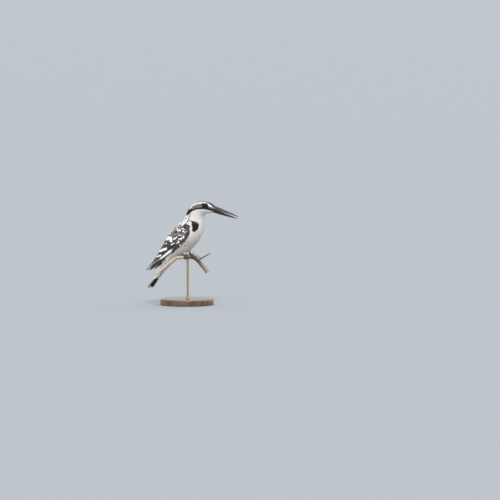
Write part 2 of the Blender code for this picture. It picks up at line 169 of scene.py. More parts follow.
class Surface:
    """An outer form, read on a grid of stations along a line and of turns round it."""

    def __init__(
        self, stations: Array, centres: Array, turns: Array, solids: BVHTree, blur: float = 0.0,
        thinning: Pair = (0.0, 0.0), least_known: float = 0.8,
        soften: Pair = (0.0, 0.0),
    ) -> None:
        """Casts the grid.

        Args:
            stations: positions along the line.
            centres: the line's (forward, up) at each station.
            turns: degrees from the back's ridge towards the bird's right.
            solids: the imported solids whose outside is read.
            blur: steps over which the line's direction is evened, so that no rays cross.
            thinning: how fast it thins past the first and past the last solid section.
            least_known: share of a section's rays that must hit for it to be closed by itself.
            soften: steps over which the form is evened, along it and round it.
        """
        self.stations, self.turns = stations, turns
        along = unit(np.gradient(centres, axis=0))
        along *= -1 if along[0, 0] < 0 else 1  # towards the head
        along = unit(self._blur(along, blur))
        angle = np.radians(turns)
        sideways = np.broadcast_to(np.sin(angle), (len(stations), len(turns)))
        upright = np.cos(angle)
        self.out = np.stack((-along[:, 1:] * upright, sideways, along[:, :1] * upright), -1)
        self.centres = np.insert(centres, 1, 0.0, axis=1)
        radii = self._close(self._fill(self._cast(solids), thinning, least_known))
        radii = self._blur(self._blur(radii, soften[0]).T, soften[1]).T
        self.points = self.centres[:, None] + self.out * radii[..., None]
        normals = unit(np.cross(np.gradient(self.points, axis=0), np.gradient(self.points, axis=1)))
        self.normals = normals * np.sign(np.sum(normals * self.out, -1))[..., None]

    @staticmethod
    def _blur(values: Array, width: float) -> Array:
        """Evens a table along its first axis, over a number of steps.

        Args:
            values: one station a row.
            width: how many steps, 0 for none.

        Returns:
            The evened table.
        """
        if not width:
            return values
        reach = int(3 * width)
        bell = np.exp(-0.5 * (np.arange(-reach, reach + 1) / width) ** 2)
        padded = np.pad(values, ((reach, reach), (0, 0)), "edge")
        columns = [np.convolve(column, bell / bell.sum(), "valid") for column in padded.T]
        return np.stack(columns, -1)

    def _cast(self, solids: BVHTree) -> Array:
        """The distance from the line to the outermost solid, for each ray of the grid.

        Args:
            solids: what the rays hit.

        Returns:
            Millimetres, not a number where a ray hit nothing.
        """
        starts = metres(self.centres[:, None] + self.out * RAY)
        ways = -metres(self.out) / MM
        radii = np.full(self.out.shape[:2], np.nan)
        for spot in np.ndindex(radii.shape):
            hit = solids.ray_cast(Vector(starts[spot]), Vector(ways[spot]), RAY * MM)
            if hit[0] is not None:
                radii[spot] = RAY - hit[3] / MM
        return radii

    def _fill(self, radii: Array, thinning: Pair, least_known: float) -> Array:
        """Fills what the rays missed.

        Args:
            radii: distances along the rays.
            thinning: how fast the form thins past each end.
            least_known: share of hits from which a section is closed round itself.

        Returns:
            The distances, with none missing.
        """
        for row in radii:
            known = ~np.isnan(row)
            if known.sum() > least_known * len(row):
                row[~known] = np.interp(self.turns[~known], self.turns[known], row[known])
        flat = np.abs(np.cos(np.radians(self.turns)))
        for column, weight in zip(radii.T, flat):
            known = ~np.isnan(column)
            first, last = self.stations[known][[0, -1]]
            past = np.maximum(first - self.stations, 0) * thinning[0] * weight
            past += np.maximum(self.stations - last, 0) * thinning[1]
            column[~known] = np.interp(self.stations[~known], self.stations[known], column[known])
            column *= np.clip(1 - past, 0.2, 1)
        return radii

    @staticmethod
    def _close(radii: Array) -> Array:
        """Closes the thin gaps between solids and rounds their steps.

        Args:
            radii: distances along the rays.

        Returns:
            The evened distances.
        """
        for _ in range(2):
            padded = np.pad(radii, ((2, 2), (0, 0)), "edge")
            radii = np.median([padded[k : k + len(radii)] for k in range(5)], axis=0)
        for _ in range(4):  # turned over each time, so that both ways are smoothed twice
            padded = np.pad(radii, ((1, 1), (0, 0)), "edge")
            radii = (radii * 0.5 + (padded[:-2] + padded[2:]) * 0.25).T
        return radii

    @staticmethod
    def _cell(values: Array, grid: Array) -> tuple[Array, Array]:
        """The grid step that each value falls in and its share of that step.

        Args:
            values: stations or turns.
            grid: the evenly spaced ones of the grid.

        Returns:
            The steps and the shares.
        """
        position = (values - grid[0]) / (grid[1] - grid[0])
        index = np.clip(np.floor(position).astype(int), 0, len(grid) - 2)
        return index, (position - index)[..., None]

    def read(self, station: Array, turn: Array) -> tuple[Array, Array]:
        """Reads the surface, straight on past its ends.

        Args:
            station: positions along the line.
            turn: degrees round it.

        Returns:
            The points and the outward unit normals.
        """
        i, f = self._cell(station, self.stations)
        j, g = self._cell(turn, self.turns)
        found = []
        for table in (self.points, self.normals):
            low, high = (table[k, j] * (1 - g) + table[k, j + 1] * g for k in (i, i + 1))
            found.append(low * (1 - f) + high * f)
        return found[0], unit(found[1])

    def scale(self, station: Array, turn: Array) -> Array:
        """Millimetres for one unit of station and for one degree of turn, at each place.

        Args:
            station: positions along the line.
            turn: degrees round it.

        Returns:
            Both lengths, in the last axis.
        """
        step, arc = 0.008 * (self.stations[-1] - self.stations[0]), 2.0
        along = self.read(station + step, turn)[0] - self.read(station - step, turn)[0]
        over = self.read(station, turn + arc)[0] - self.read(station, turn - arc)[0]
        lengths = (np.linalg.norm(along, axis=-1) / (2 * step), np.linalg.norm(over, axis=-1) / (2 * arc))
        return np.stack(lengths, -1)


@dataclass
class Form:
    """The bird's outer form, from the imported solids."""

    # forward, up of the body's line, from the tail coverts to the bill
    spine: Table = (
        (-54.4, 67.4), (-46.0, 80.5), (-35.5, 96.0), (-22.0, 115.0), (-9.0, 131.0), (3.0, 147.0),
        (11.5, 160.5), (16.5, 172.5), (19.8, 184.0), (24.0, 192.8), (30.5, 198.4), (38.5, 199.6),
        (47.0, 198.2), (53.6, 196.6), (58.6, 195.4),
    )
    wrist: Pair = (12.5, 161.5)
    wing_tip: Pair = (-84.5, 68.5)
    flesh: tuple[str, ...] = ("head", "neck", "trunk")
    wing_nodes: tuple[str, ...] = ("coverts", "secondaries", "primaries")
    # lowest, highest and count of the stations and turns that are read
    body_stations: tuple[float, float, int] = (-1.5, 15.0, 331)
    body_turns: tuple[float, float, int] = (-192.0, 192.0, 129)
    wing_shares: tuple[float, float, int] = (-0.1, 1.02, 169)
    wing_turns: tuple[float, float, int] = (-20.0, 132.0, 153)
    body: Surface = field(init=False)
    wing: Surface = field(init=False)
    wing_solids: BVHTree = field(init=False)

    def read(self, nodes: dict[str, Piece]) -> "Form":
        """Casts both grids.

        Args:
            nodes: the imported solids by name.

        Returns:
            This form, ready to be dressed.
        """
        stations, step = np.linspace(*self.body_stations, retstep=True)
        inner = np.clip(stations, 0.0, len(self.spine) - 1.0)
        centres = spline(np.array(self.spine), inner)
        first, last = np.flatnonzero(np.isclose(stations, inner))[[0, -1]]
        ends = np.gradient(centres, axis=0)[[first, last]] / step
        centres += np.where(stations < inner, stations - inner, 0)[:, None] * ends[0]
        centres += np.where(stations > inner, stations - inner, 0)[:, None] * ends[1]
        flesh = [nodes[name] for name in self.flesh]
        head = solids_tree([*flesh, nodes["eye_right"], nodes["eye_left"]])
        self.body = Surface(stations, centres, np.linspace(*self.body_turns), head, 22.0, (0.45, 0.17))
        wings = [nodes[f"wing_right_{name}"] for name in self.wing_nodes]
        self.wing_solids = solids_tree(wings)
        shares = np.linspace(*self.wing_shares)
        line = np.array(self.wrist) + np.outer(shares, np.subtract(self.wing_tip, self.wrist))
        around, tree = np.linspace(*self.wing_turns), solids_tree([*wings, *flesh])
        self.wing = Surface(shares, line, around, tree, least_known=0.05, soften=(2.0, 4.0))
        return self

    @property
    def wing_length(self) -> float:
        """From the wrist to the wing tip."""
        return float(np.hypot(*np.subtract(self.wing_tip, self.wrist)))


def solids_tree(solids: list[Piece]) -> BVHTree:
    """One search tree over the meshes of several solids.

    Args:
        solids: their objects.

    Returns:
        The tree.
    """
    points, faces = [], []
    for solid in solids:
        first = len(points)
        points += [v.co.copy() for v in solid.data.vertices]
        faces += [tuple(first + i for i in p.vertices) for p in solid.data.polygons]
    return BVHTree.FromPolygons(points, faces)


# --- markings

WHITE = np.array((0.86, 0.84, 0.835))
# the cream and olive are painted shade with warm reflected light, laid on the white underside and the
# thighs
PAINTED_SHADE_CREAM = np.array((0.72, 0.68, 0.56))
PAINTED_SHADE_OLIVE = np.array((0.66, 0.60, 0.44))
BLACK = np.array((0.011, 0.008, 0.010))
BROWN = np.array((0.105, 0.060, 0.056))
GREY_BROWN = np.array((0.20, 0.158, 0.15))


@dataclass(frozen=True)
class Stroke:
    """A painted line or spot on a surface's own chart: (station, turn) points and its width."""

    points: Table
    width: Pair  # at its two ends, in millimetres
    tone: float  # 0 black to 1 white

    def cover(self, station: Array, turn: Array, scale: Array) -> Array:
        """How much of the stroke lies on each place.

        Args:
            station: positions along the line.
            turn: degrees round it.
            scale: millimetres for one station and for one degree, in the last axis.

        Returns:
            0 off the stroke to 1 on it.
        """
        spots = np.array(self.points, float)
        spots = np.repeat(spots, 2, 0) if len(spots) == 1 else spots
        nearest = np.full(station.shape, 1e3)
        lengths = np.linalg.norm(np.diff(spots, axis=0), axis=1)
        total, done = max(lengths.sum(), 1e-9), 0.0
        for start, end, length in zip(spots, spots[1:], lengths):
            dx, dy = np.moveaxis((end - start) * scale, -1, 0)
            px = (station - start[0]) * scale[..., 0]
            py = (turn - start[1]) * scale[..., 1]
            share = np.clip((px * dx + py * dy) / np.maximum(dx * dx + dy * dy, 1e-9), 0, 1)
            at = (done + share * length) / total
            half = (self.width[0] + (self.width[1] - self.width[0]) * at) / 2
            nearest = np.minimum(nearest, np.hypot(px - dx * share, py - dy * share) - half)
            done += length
        return 1 - ease(-0.25, 0.25, nearest)


def off_ridge(turn: Array) -> Array:
    """Degrees from the back's ridge, on either side."""
    return np.abs((turn + 180) % 360 - 180)


@dataclass(frozen=True)
class Markings:
    """The bird's pattern, and the painted shade with warm reflected light on its underside, as a function
    of place on its own charts.
    """

    # body chart: station along the spine, degrees from the back's ridge
    crown_edge: Table = (
        (7.9, 26.0), (8.4, 14.0), (9.1, 11.0), (9.6, 14.0), (9.95, 22.0), (10.53, 20.0), (11.23, 18.0),
        (11.93, 26.0), (12.48, 33.0), (13.23, 40.0), (14.0, 46.0),
    )
    brow_edge: Table = (
        (8.12, 0.0), (8.4, 38.0), (8.8, 40.0), (9.22, 38.0), (9.78, 46.0), (10.5, 50.0), (10.95, 41.0),
        (11.6, 37.0), (11.98, 50.0), (12.45, 62.0), (13.03, 56.0), (13.6, 52.0), (14.0, 50.0),
    )
    mask_edge: Table = (
        (7.08, 8.0), (7.43, 43.5), (7.9, 55.0), (8.35, 63.0), (9.12, 80.0), (10.0, 94.0),
        (10.28, 97.0), (11.6, 97.0), (12.6, 98.0), (14.0, 104.5),
    )
    neck_strokes: tuple[Stroke, ...] = (
        Stroke(((7.93, 62.0), (7.5, 64.5), (6.9, 66.0)), (1.6, 1.3), 0.12),
        Stroke(((6.9, 66.0), (6.93, 82.0), (7.08, 96.0)), (1.3, 2.0), 0.2),
        Stroke(((6.9, 66.0), (6.33, 63.0), (6.0, 61.0)), (1.4, 1.4), 0.12),
        Stroke(((4.05, 127.0), (3.85, 124.0)), (1.6, 0.9), 0.15),
        Stroke(((4.36, 133.0), (4.2, 136.0)), (1.5, 0.8), 0.2),
        Stroke(((4.55, 127.0), (4.45, 129.0)), (1.0, 0.6), 0.3),
    )
    patch: Table = (
        (6.98, 86.0), (6.85, 93.0), (6.25, 104.0), (5.78, 113.0), (5.7, 122.0), (5.88, 131.0),
        (6.38, 139.0), (7.0, 138.0), (7.18, 126.0), (7.2, 110.0),
    )
    # wing chart: share from wrist to tip, degrees from the back's ridge
    wing_strokes: tuple[Stroke, ...] = (
        # the white panel, its dark spots and the pale crescents of the wrist
        Stroke(((0.385, 50.0), (0.345, 75.0)), (8.5, 11.0), 1.0),
        Stroke(((0.292, 83.0), (0.235, 86.5)), (3.0, 2.4), 1.0),
        Stroke(((0.425, 68.5),), (3.0, 3.0), 0.03),
        Stroke(((0.385, 80.5),), (3.4, 3.4), 0.03),
        Stroke(((0.31, 91.0),), (3.6, 3.6), 0.03),
        Stroke(((0.287, 73.5),), (2.8, 2.8), 0.03),
        Stroke(((0.352, 38.5),), (2.6, 2.6), 0.03),
        Stroke(((0.282, 27.0),), (4.2, 4.2), 0.03),
        Stroke(((0.177, 30.5),), (2.6, 2.6), 0.03),
        Stroke(((0.222, 65.5),), (3.2, 3.2), 0.03),
        Stroke(((0.165, 87.5),), (3.4, 3.4), 0.03),
        Stroke(((0.195, 87.0), (0.17, 95.5)), (2.4, 2.0), 0.95),
        Stroke(((0.1, 87.0), (0.088, 96.0)), (2.8, 2.2), 0.95),
        Stroke(((0.102, 72.5), (0.083, 80.5)), (3.2, 2.6), 0.95),
        Stroke(((0.232, 97.5), (0.21, 105.0)), (3.2, 2.4), 0.95),
        Stroke(((0.162, 102.0), (0.145, 108.0)), (2.4, 2.0), 0.9),
        Stroke(((0.16, 66.0), (0.143, 76.5)), (3.4, 2.6), 0.95),
        # the white band, the dark double band below it and the pale edge of the wing
        Stroke(((0.477, 57.5), (0.435, 82.0), (0.38, 94.5), (0.325, 101.0), (0.275, 105.0)), (3.0, 2.4), 1),
        Stroke(((0.51, 58.5), (0.46, 82.5), (0.423, 96.5), (0.38, 102.0)), (4.4, 3.4), 0.03),
        Stroke(((0.437, 109.5), (0.39, 111.0), (0.33, 112.5), (0.203, 112.5)), (5.2, 4.6), 0.03),
        Stroke(((0.203, 112.5), (0.128, 111.5), (0.075, 106.0)), (4.6, 3.6), 0.03),
        Stroke(((0.402, 98.5), (0.367, 103.5), (0.33, 107.0)), (1.5, 1.2), 0.85),
        Stroke(((0.30, 117.0), (0.217, 117.6), (0.15, 118.0)), (1.7, 1.5), 1.0),
        # the white patches of the flight feathers and the dark lines between them
        Stroke(((0.60, 62.0), (0.573, 74.0), (0.523, 86.5)), (5.5, 6.0), 1.0),
        Stroke(((0.615, 82.0), (0.598, 91.0)), (3.2, 2.8), 0.03),
        Stroke(((0.675, 78.0), (0.625, 91.5)), (4.0, 3.4), 1.0),
        Stroke(((0.432, 105.0), (0.495, 100.0), (0.583, 98.5), (0.715, 97.5)), (2.8, 2.2), 0.03),
        Stroke(((0.455, 112.0), (0.54, 107.5)), (3.2, 5.0), 1.0),
        Stroke(((0.54, 107.5), (0.63, 105.5)), (5.0, 3.4), 1.0),
        Stroke(((0.63, 105.5), (0.725, 102.0)), (3.4, 1.7), 1.0),
        Stroke(((0.725, 102.0), (0.825, 95.5), (0.93, 90.0)), (1.6, 0.9), 0.95),
    )

    @staticmethod
    def _past(edge: Table, station: Array, side: Array, arc: Array) -> Array:
        """How many millimetres each place lies beyond an edge, away from the ridge."""
        return (side - np.interp(station, *np.array(edge).T)) * arc

    @staticmethod
    def _inside(outline: Table, station: Array, turn: Array) -> Array:
        """Whether each place lies inside a closed outline.

        Args:
            outline: its corners.
            station: positions along the line.
            turn: degrees round it.

        Returns:
            True where inside.
        """
        inside = np.zeros(station.shape, bool)
        for a, b in zip(np.array(outline), np.roll(outline, -1, 0)):
            slope = (b[0] - a[0]) / (b[1] - a[1] if b[1] != a[1] else 1e-9)
            inside ^= ((a[1] > turn) != (b[1] > turn)) & (station < a[0] + slope * (turn - a[1]))
        return inside

    def body(self, station: Array, turn: Array, scale: Array) -> Array:
        """Colours on the body's chart.

        Args:
            station: positions along the spine.
            turn: degrees from the back's ridge, of either side.
            scale: millimetres for one station and for one degree.

        Returns:
            Linear colours.
        """
        side, arc = off_ridge(turn), scale[..., 1]
        # the belly and the flanks are painted darker and warmer: painted shade with warm reflected light on
        # the white underside
        belly = ease(7.2, 3.2, station) * ease(96.0, 150.0, side)
        flank = ease(5.4, 3.0, station) * ease(80.0, 112.0, side) * (1 - belly)
        colour = blend(blend(WHITE, PAINTED_SHADE_OLIVE * 1.1, belly * 0.8), PAINTED_SHADE_CREAM, flank * 0.6)
        crown = 1 - ease(-0.5, 0.5, self._past(self.crown_edge, station, side, arc))
        crown = crown * ease(7.6, 7.9, station)
        brow = ease(-0.5, 0.5, self._past(self.brow_edge, station, side, arc))
        depth = -self._past(self.mask_edge, station, side, arc)
        mask = np.where(station < 8.45, 1.0, brow) * (1 - ease(-0.4, 0.4, -depth))
        mask = mask * ease(7.1, 7.6, station)
        cheek = ease(2.6, 4.2, depth) * ease(8.5, 9.0, station) * (1 - ease(10.5, 11.0, station))
        lores = ease(12.0, 12.6, station) * ease(3.2, 4.2, depth)
        colour = blend(colour, blend(BLACK, GREY_BROWN, np.clip(cheek + 0.6 * lores, 0, 1)), mask)
        colour = blend(colour, BLACK + (BROWN - BLACK) * 0.12, crown)
        chest = self._inside(self.patch, station, side)
        patch = blend(BLACK, BROWN * 1.2, 0.04 + 0.8 * ease(6.75, 7.1, station))
        colour = np.where(chest[..., None], patch, colour)
        for stroke in self.neck_strokes:
            shade = BROWN * (0.4 + 2 * stroke.tone)
            colour = blend(colour, shade, stroke.cover(station, side, scale))
        return colour

    @staticmethod
    def streaked(station: Array, turn: Array) -> Array:
        """The share of white feathers along the hind crown's ridge, at each root."""
        ridge = 1 - ease(10.0, 18.0, off_ridge(turn))
        return 0.3 * (ease(8.1, 8.4, station) * (1 - ease(9.4, 10.0, station)) * ridge)

    @staticmethod
    def pied(station: Array, turn: Array) -> Array:
        """The share of dark-centred feathers on the back and rump, at each root.

        Args:
            station: positions along the spine.
            turn: degrees from the back's ridge.

        Returns:
            0 for none to 1 for all.
        """
        side = off_ridge(turn)
        back = ease(0.6, 1.4, station) * (1 - ease(5.6, 6.3, station)) * (1 - ease(46.0, 64.0, side))
        flank = ease(0.2, 0.8, station) * (1 - ease(1.9, 2.8, station))
        flank = flank * ease(60.0, 75.0, side) * (1 - ease(108.0, 122.0, side))
        return np.maximum(0.7 * back, 0.28 * flank)

    def wing(self, station: Array, turn: Array, scale: Array, ground: Array, warmth: Array) -> Array:
        """Colours on the wing's chart.

        Args:
            station: shares from the wrist to the tip.
            turn: degrees from the back's ridge.
            scale: millimetres for one station and for one degree.
            ground: the tone that the strokes are painted on.
            warmth: how brown each feather's dark parts are.

        Returns:
            Linear colours.
        """
        tone = ground
        for stroke in self.wing_strokes:
            tone = tone + (stroke.tone - tone) * stroke.cover(station, turn, scale)
        return blend(BLACK + (BROWN - BLACK) * warmth, WHITE, np.clip(tone, 0, 1))


# --- feathers


PATCH = 0.003  # the unwrapped size of a small feather
LEAST_STATION = 0.45  # of the usual millimetres a station, where the line bends inwards
LEAST_TURN = 0.03  # millimetres a degree, near a pole


@dataclass(frozen=True)
class Vane:
    """The pattern of one feather: a thin closed blade with a rounded or notched end."""

    rows: int
    columns: int
    root_width: float = 0.35
    widest: float = 0.62  # share of the length
    tip_width: float = 0.45
    roundness: float = 0.22
    notch: float = 0.06
    crown: float = 0.10  # of the half width
    groove: float = 0.03  # millimetres between neighbouring barbs
    thickness: float = 0.12  # millimetres
    rise: float = 0.85  # how soon it leaves the skin, lower is sooner
    fray: int = 0  # seed of its uneven barbs, 0 for none

    def profile(self, along: Array) -> Array:
        """The half width, as a share of the widest, at shares of the length.

        Args:
            along: shares of the length.

        Returns:
            Shares of the widest half width.
        """
        rise = np.sin(np.clip(along / self.widest, 0, 1) * math.pi / 2) ** 0.8
        fall = np.clip((along - self.widest) / (1 - self.widest), 0, 1) ** 2.2
        return (self.root_width + (1 - self.root_width) * rise) * (1 - (1 - self.tip_width) * fall)

    def vertices(self) -> Array:
        """Across (-1 to 1), along (0 to 1), share of crown and height in mm of every vertex.

        Returns:
            One row a vertex, the upper sheet first.
        """
        rng = np.random.default_rng(self.fray)
        uneven = rng.uniform(-0.5, 1.0, self.columns + 1) * self.notch * bool(self.fray)
        row, column = np.indices((self.rows + 1, self.columns + 1))
        x, y, odd = 2 * column / self.columns - 1, row / self.rows, column % 2
        back = y**3 * (self.roundness * x * x + (self.notch * odd + uneven[column]))
        rib = self.groove * (1 - 2 * odd) * y
        sheets = []
        for face, part in ((1, np.s_[:]), (-1, np.s_[1:-1, 1:-1])):
            lift = np.where(self._outline(), 0.0, face * self.thickness / 2)
            sheet = np.stack((x * self.profile(y), y - back, 1 - x * x, lift + rib), -1)
            sheets.append(sheet[part].reshape(-1, 4))
        return np.vstack(sheets)

    def _outline(self) -> Array:
        """Whether each place of a sheet lies on its outline."""
        return np.pad(np.zeros((self.rows - 1, self.columns - 1), bool), 1, constant_values=True)

    def rim(self) -> Array:
        """Whether each vertex lies on the outline, in the order of vertices()."""
        outline = self._outline()
        return np.append(outline, np.zeros((~outline).sum(), bool))

    def faces(self) -> Array:
        """The quads of the closed blade, in which both sheets share the outline.

        Returns:
            Four vertices a row.
        """
        upper = np.arange((self.rows + 1) * (self.columns + 1)).reshape(self.rows + 1, -1)
        lower = upper.copy()
        lower[1:-1, 1:-1] = upper.size + np.arange(lower[1:-1, 1:-1].size).reshape(self.rows - 1, -1)
        quads = []
        for grid, order in ((upper, 1), (lower, -1)):
            corners = (grid[:-1, :-1], grid[:-1, 1:], grid[1:, 1:], grid[1:, :-1])
            quads.append(np.stack(corners[::order], -1).reshape(-1, 4))
        return np.vstack(quads)

    def gather(self, feathers: list[tuple[Array, ...]]) -> "Batch":
        """One batch of feathers that were made one by one, each with what a batch holds of it."""
        return Batch(self, *(np.array(part) for part in zip(*feathers)))


@dataclass
class Batch:
    """Feathers of one pattern, ready to be joined: arrays of (feather, vertex, ...)."""

    vane: Vane
    points: Array
    colours: Array
    grain: Array  # across and along in millimetres, for the barbs
    chart: Array  # the patch of each feather on the unwrapped form


@dataclass
class Growth:
    """Where feathers grow and how each one lies. Lengths are in millimetres."""

    station: Array
    turn: Array
    length: Array
    width: Array
    yaw: Array  # degrees from the flow
    root: Array  # height of the root over the outer form
    tip: Array  # height of the tip
    tilt: Array  # how much higher the edge at larger turns is

    @classmethod
    def drawn(cls, rng: Rng, station: Array, turn: Array, root: float, **limits: Pair) -> "Growth":
        """A growth whose other measures are drawn.

        Args:
            rng: draws them.
            station: positions along the line.
            turn: degrees round it.
            root: height of the roots.
            **limits: lowest and highest length, width and tip; mean and spread of yaw and tilt.

        Returns:
            The growth.
        """
        count = len(station)
        length, width = (rng.uniform(*limits[name], count) for name in ("length", "width"))
        yaw, roots = rng.normal(*limits["yaw"], count), np.full(count, root)
        tip = rng.uniform(*limits["tip"], count)
        return cls(station, turn, length, width, yaw, roots, tip, rng.normal(*limits["tilt"], count))

    def __len__(self) -> int:
        """How many feathers grow."""
        return len(self.station)

    def only(self, chosen: Array) -> "Growth":
        """The chosen feathers."""
        return Growth(*(values[chosen] for values in vars(self).values()))


@dataclass(frozen=True)
class Chart:
    """How a surface unwraps into the unit square, and how big a feather's patch is there."""

    station_span: Pair
    turn_span: Pair
    patch: float = PATCH
    margin: float = 0.02

    def place(self, growth: Growth, across: Array, along: Array) -> Array:
        """The unwrapped place of each feather's vertices, in its own patch round its root.

        Args:
            growth: the feathers.
            across: -1 to 1 at each vertex.
            along: 0 to 1 at each vertex.

        Returns:
            An array of (feather, vertex, 2).
        """
        u = (growth.station - self.station_span[0]) / np.ptp(self.station_span)
        v = (growth.turn - self.turn_span[0]) / np.ptp(self.turn_span)
        roots = np.clip(np.stack((u, v), -1), 0, 1) * (1 - 2 * self.margin) + self.margin
        return roots[:, None] + np.stack((across / 2, along - 0.5), -1)[None] * self.patch


@dataclass
class Laid:
    """A growth laid on a surface, before it is coloured."""

    growth: Growth
    vane: Vane
    points: Array
    station: Array
    turn: Array
    across: Array  # -1 to 1 in the pattern
    along: Array  # 0 to 1
    grain: Array

    def only(self, chosen: Array) -> "Laid":
        """The chosen feathers."""
        arrays = {name: a[chosen] for name, a in vars(self).items() if isinstance(a, Array)}
        return replace(self, growth=self.growth.only(chosen), **arrays)

    def batch(self, colours: Array, chart: Chart) -> Batch:
        """The feathers with their colours and their unwrapped places."""
        places = chart.place(self.growth, self.across[0], self.along[0])
        return Batch(self.vane, self.points, colours, self.grain, places)


def lay(surface: Surface, vane: Vane, growth: Growth, flow: float, side: float = 1.0) -> Laid:
    """Bends every feather of a growth over a surface.

    Args:
        surface: the outer form.
        vane: the pattern.
        growth: where each feather grows.
        flow: 1 if the feathers point along rising stations, -1 if along falling ones.
        side: -1 to mirror the result to the bird's left.

    Returns:
        The laid feathers.
    """
    x, y, crown, lift = vane.vertices().T
    by_station, by_turn = surface.scale(growth.station, growth.turn).T[..., None]
    by_station = np.maximum(by_station, LEAST_STATION * np.median(by_station))
    by_turn = np.maximum(by_turn, LEAST_TURN)
    station, turn, length, width, yaw, root, tip, tilt = (a[:, None] for a in vars(growth).values())
    a, b, angle = y * length, x * width / 2, np.radians(yaw)
    station = station + flow * (a * np.cos(angle) - b * np.sin(angle)) / by_station
    turn = turn + (a * np.sin(angle) + b * np.cos(angle)) / by_turn
    points, normals = surface.read(station, turn)
    height = root + (tip - root) * np.maximum(y, 0) ** vane.rise
    height = height + crown * vane.crown * (width / 2) + lift + tilt * x
    points = points + normals * height[..., None]
    points[..., 1] *= side
    across, along = np.broadcast_to(x, a.shape), np.broadcast_to(y, a.shape)
    return Laid(growth, vane, points, station, turn, across, along, np.stack((b, a), -1))


def assemble(name: str, batches: list[Batch], finish: Material) -> Piece:
    """Joins batches of feathers into one piece of the model.

    Args:
        name: the piece's name.
        batches: its feathers.
        finish: its material.

    Returns:
        The object, riding on the body.
    """
    parts, first = [], 0
    for batch in batches:
        count, size = batch.points.shape[:2]
        placed, quads = metres(batch.points), batch.vane.faces()
        a, b, c = (placed[:, quads[:, k]] for k in (0, 1, 2))
        facing = np.sum(np.cross(b - a, c - b) * (a - placed.mean(1, keepdims=True)))
        quads = quads if facing > 0 else quads[:, ::-1]
        quads = quads[None] + first + np.arange(count)[:, None, None] * size
        flat = (placed, batch.colours, batch.grain, batch.chart, quads)
        parts.append([a.reshape(-1, a.shape[-1]) for a in flat] + [np.tile(batch.vane.rim(), count)])
        first += count * size
    points, colours, grain, chart, faces, rim = (np.concatenate(part) for part in zip(*parts))
    made = solid_mesh(name, points, faces)
    crease(made, rim)
    paint(made, colours)
    lay_map(made, "Barbs", grain)
    lay_map(made, "OFBake", chart)
    LOG.info("%s: %d triangles", name, 2 * len(made.polygons))
    return add_piece(name, made, finish)


def solid_mesh(name: str, points: Array, faces: Array) -> Mesh:
    """A smooth-shaded mesh from row-frame points and faces that all have the same size.

    Args:
        name: the mesh's name.
        points: one a row, in metres.
        faces: their vertices, one face a row.

    Returns:
        The mesh.
    """
    mesh = bpy.data.meshes.new(name)
    mesh.vertices.add(len(points))
    mesh.vertices.foreach_set("co", np.ascontiguousarray(points, np.float32).ravel())
    mesh.loops.add(faces.size)
    mesh.loops.foreach_set("vertex_index", np.ascontiguousarray(faces, np.int32).ravel())
    mesh.polygons.add(len(faces))
    starts = np.arange(len(faces), dtype=np.int32) * faces.shape[1]
    mesh.polygons.foreach_set("loop_start", starts)
    mesh.update(calc_edges=True)
    mesh.validate()
    mesh.shade_smooth()
    return mesh


def crease(mesh: Mesh, rim: Array) -> None:
    """Marks the blades' outlines sharp, so that each sheet is shaded by itself.

    Args:
        mesh: the blades.
        rim: whether each vertex lies on an outline.
    """
    ends = np.zeros(2 * len(mesh.edges), np.int32)
    mesh.edges.foreach_get("vertices", ends)
    sharp = rim[ends.reshape(-1, 2)].all(1)
    layer = mesh.attributes.new("sharp_edge", "BOOLEAN", "EDGE")
    layer.data.foreach_set("value", sharp)


def paint(mesh: Mesh, colours: Array) -> None:
    """Stores a linear colour for each vertex in the attribute "coat".

    Args:
        mesh: what is painted.
        colours: one row a vertex.
    """
    layer = mesh.attributes.new("coat", "FLOAT_COLOR", "POINT")
    full = np.concatenate((colours, np.ones((len(colours), 1))), 1)
    layer.data.foreach_set("color", full.astype(np.float32).ravel())


def lay_map(mesh: Mesh, name: str, places: Array) -> None:
    """Adds a UV map from one place for each vertex.

    Args:
        mesh: what is unwrapped.
        name: the map's name.
        places: one row a vertex.
    """
    layer = mesh.uv_layers.new(name=name)
    corners = np.zeros(len(mesh.loops), np.int32)
    mesh.loops.foreach_get("vertex_index", corners)
    layer.uv.foreach_set("vector", places[corners].astype(np.float32).ravel())


def add_piece(name: str, mesh: Mesh, finish: Material) -> Piece:
    """Adds a mesh to the model as a piece that rides on the body.

    Args:
        name: the piece's name.
        mesh: its form.
        finish: its material.

    Returns:
        The object.
    """
    mesh.materials.clear()
    mesh.materials.append(finish)
    piece = bpy.data.objects.new(name, mesh)
    bpy.context.scene.collection.objects.link(piece)
    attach(piece, BODY)
    return piece


def scatter(points: Array, spacing: Array, rng: Rng) -> Array:
    """Thins points until none lies within its spacing of another.

    Args:
        points: candidates.
        spacing: the least distance at each.
        rng: sets the order.

    Returns:
        The indices that stay.
    """
    tree = near_tree(points)
    alive = np.ones(len(points), bool)
    for i in rng.permutation(len(points)):
        if alive[i]:
            for _, j, _ in tree.find_range(points[i], spacing[i]):
                alive[j] = False
            alive[i] = True
    return np.flatnonzero(alive)


# --- finishes


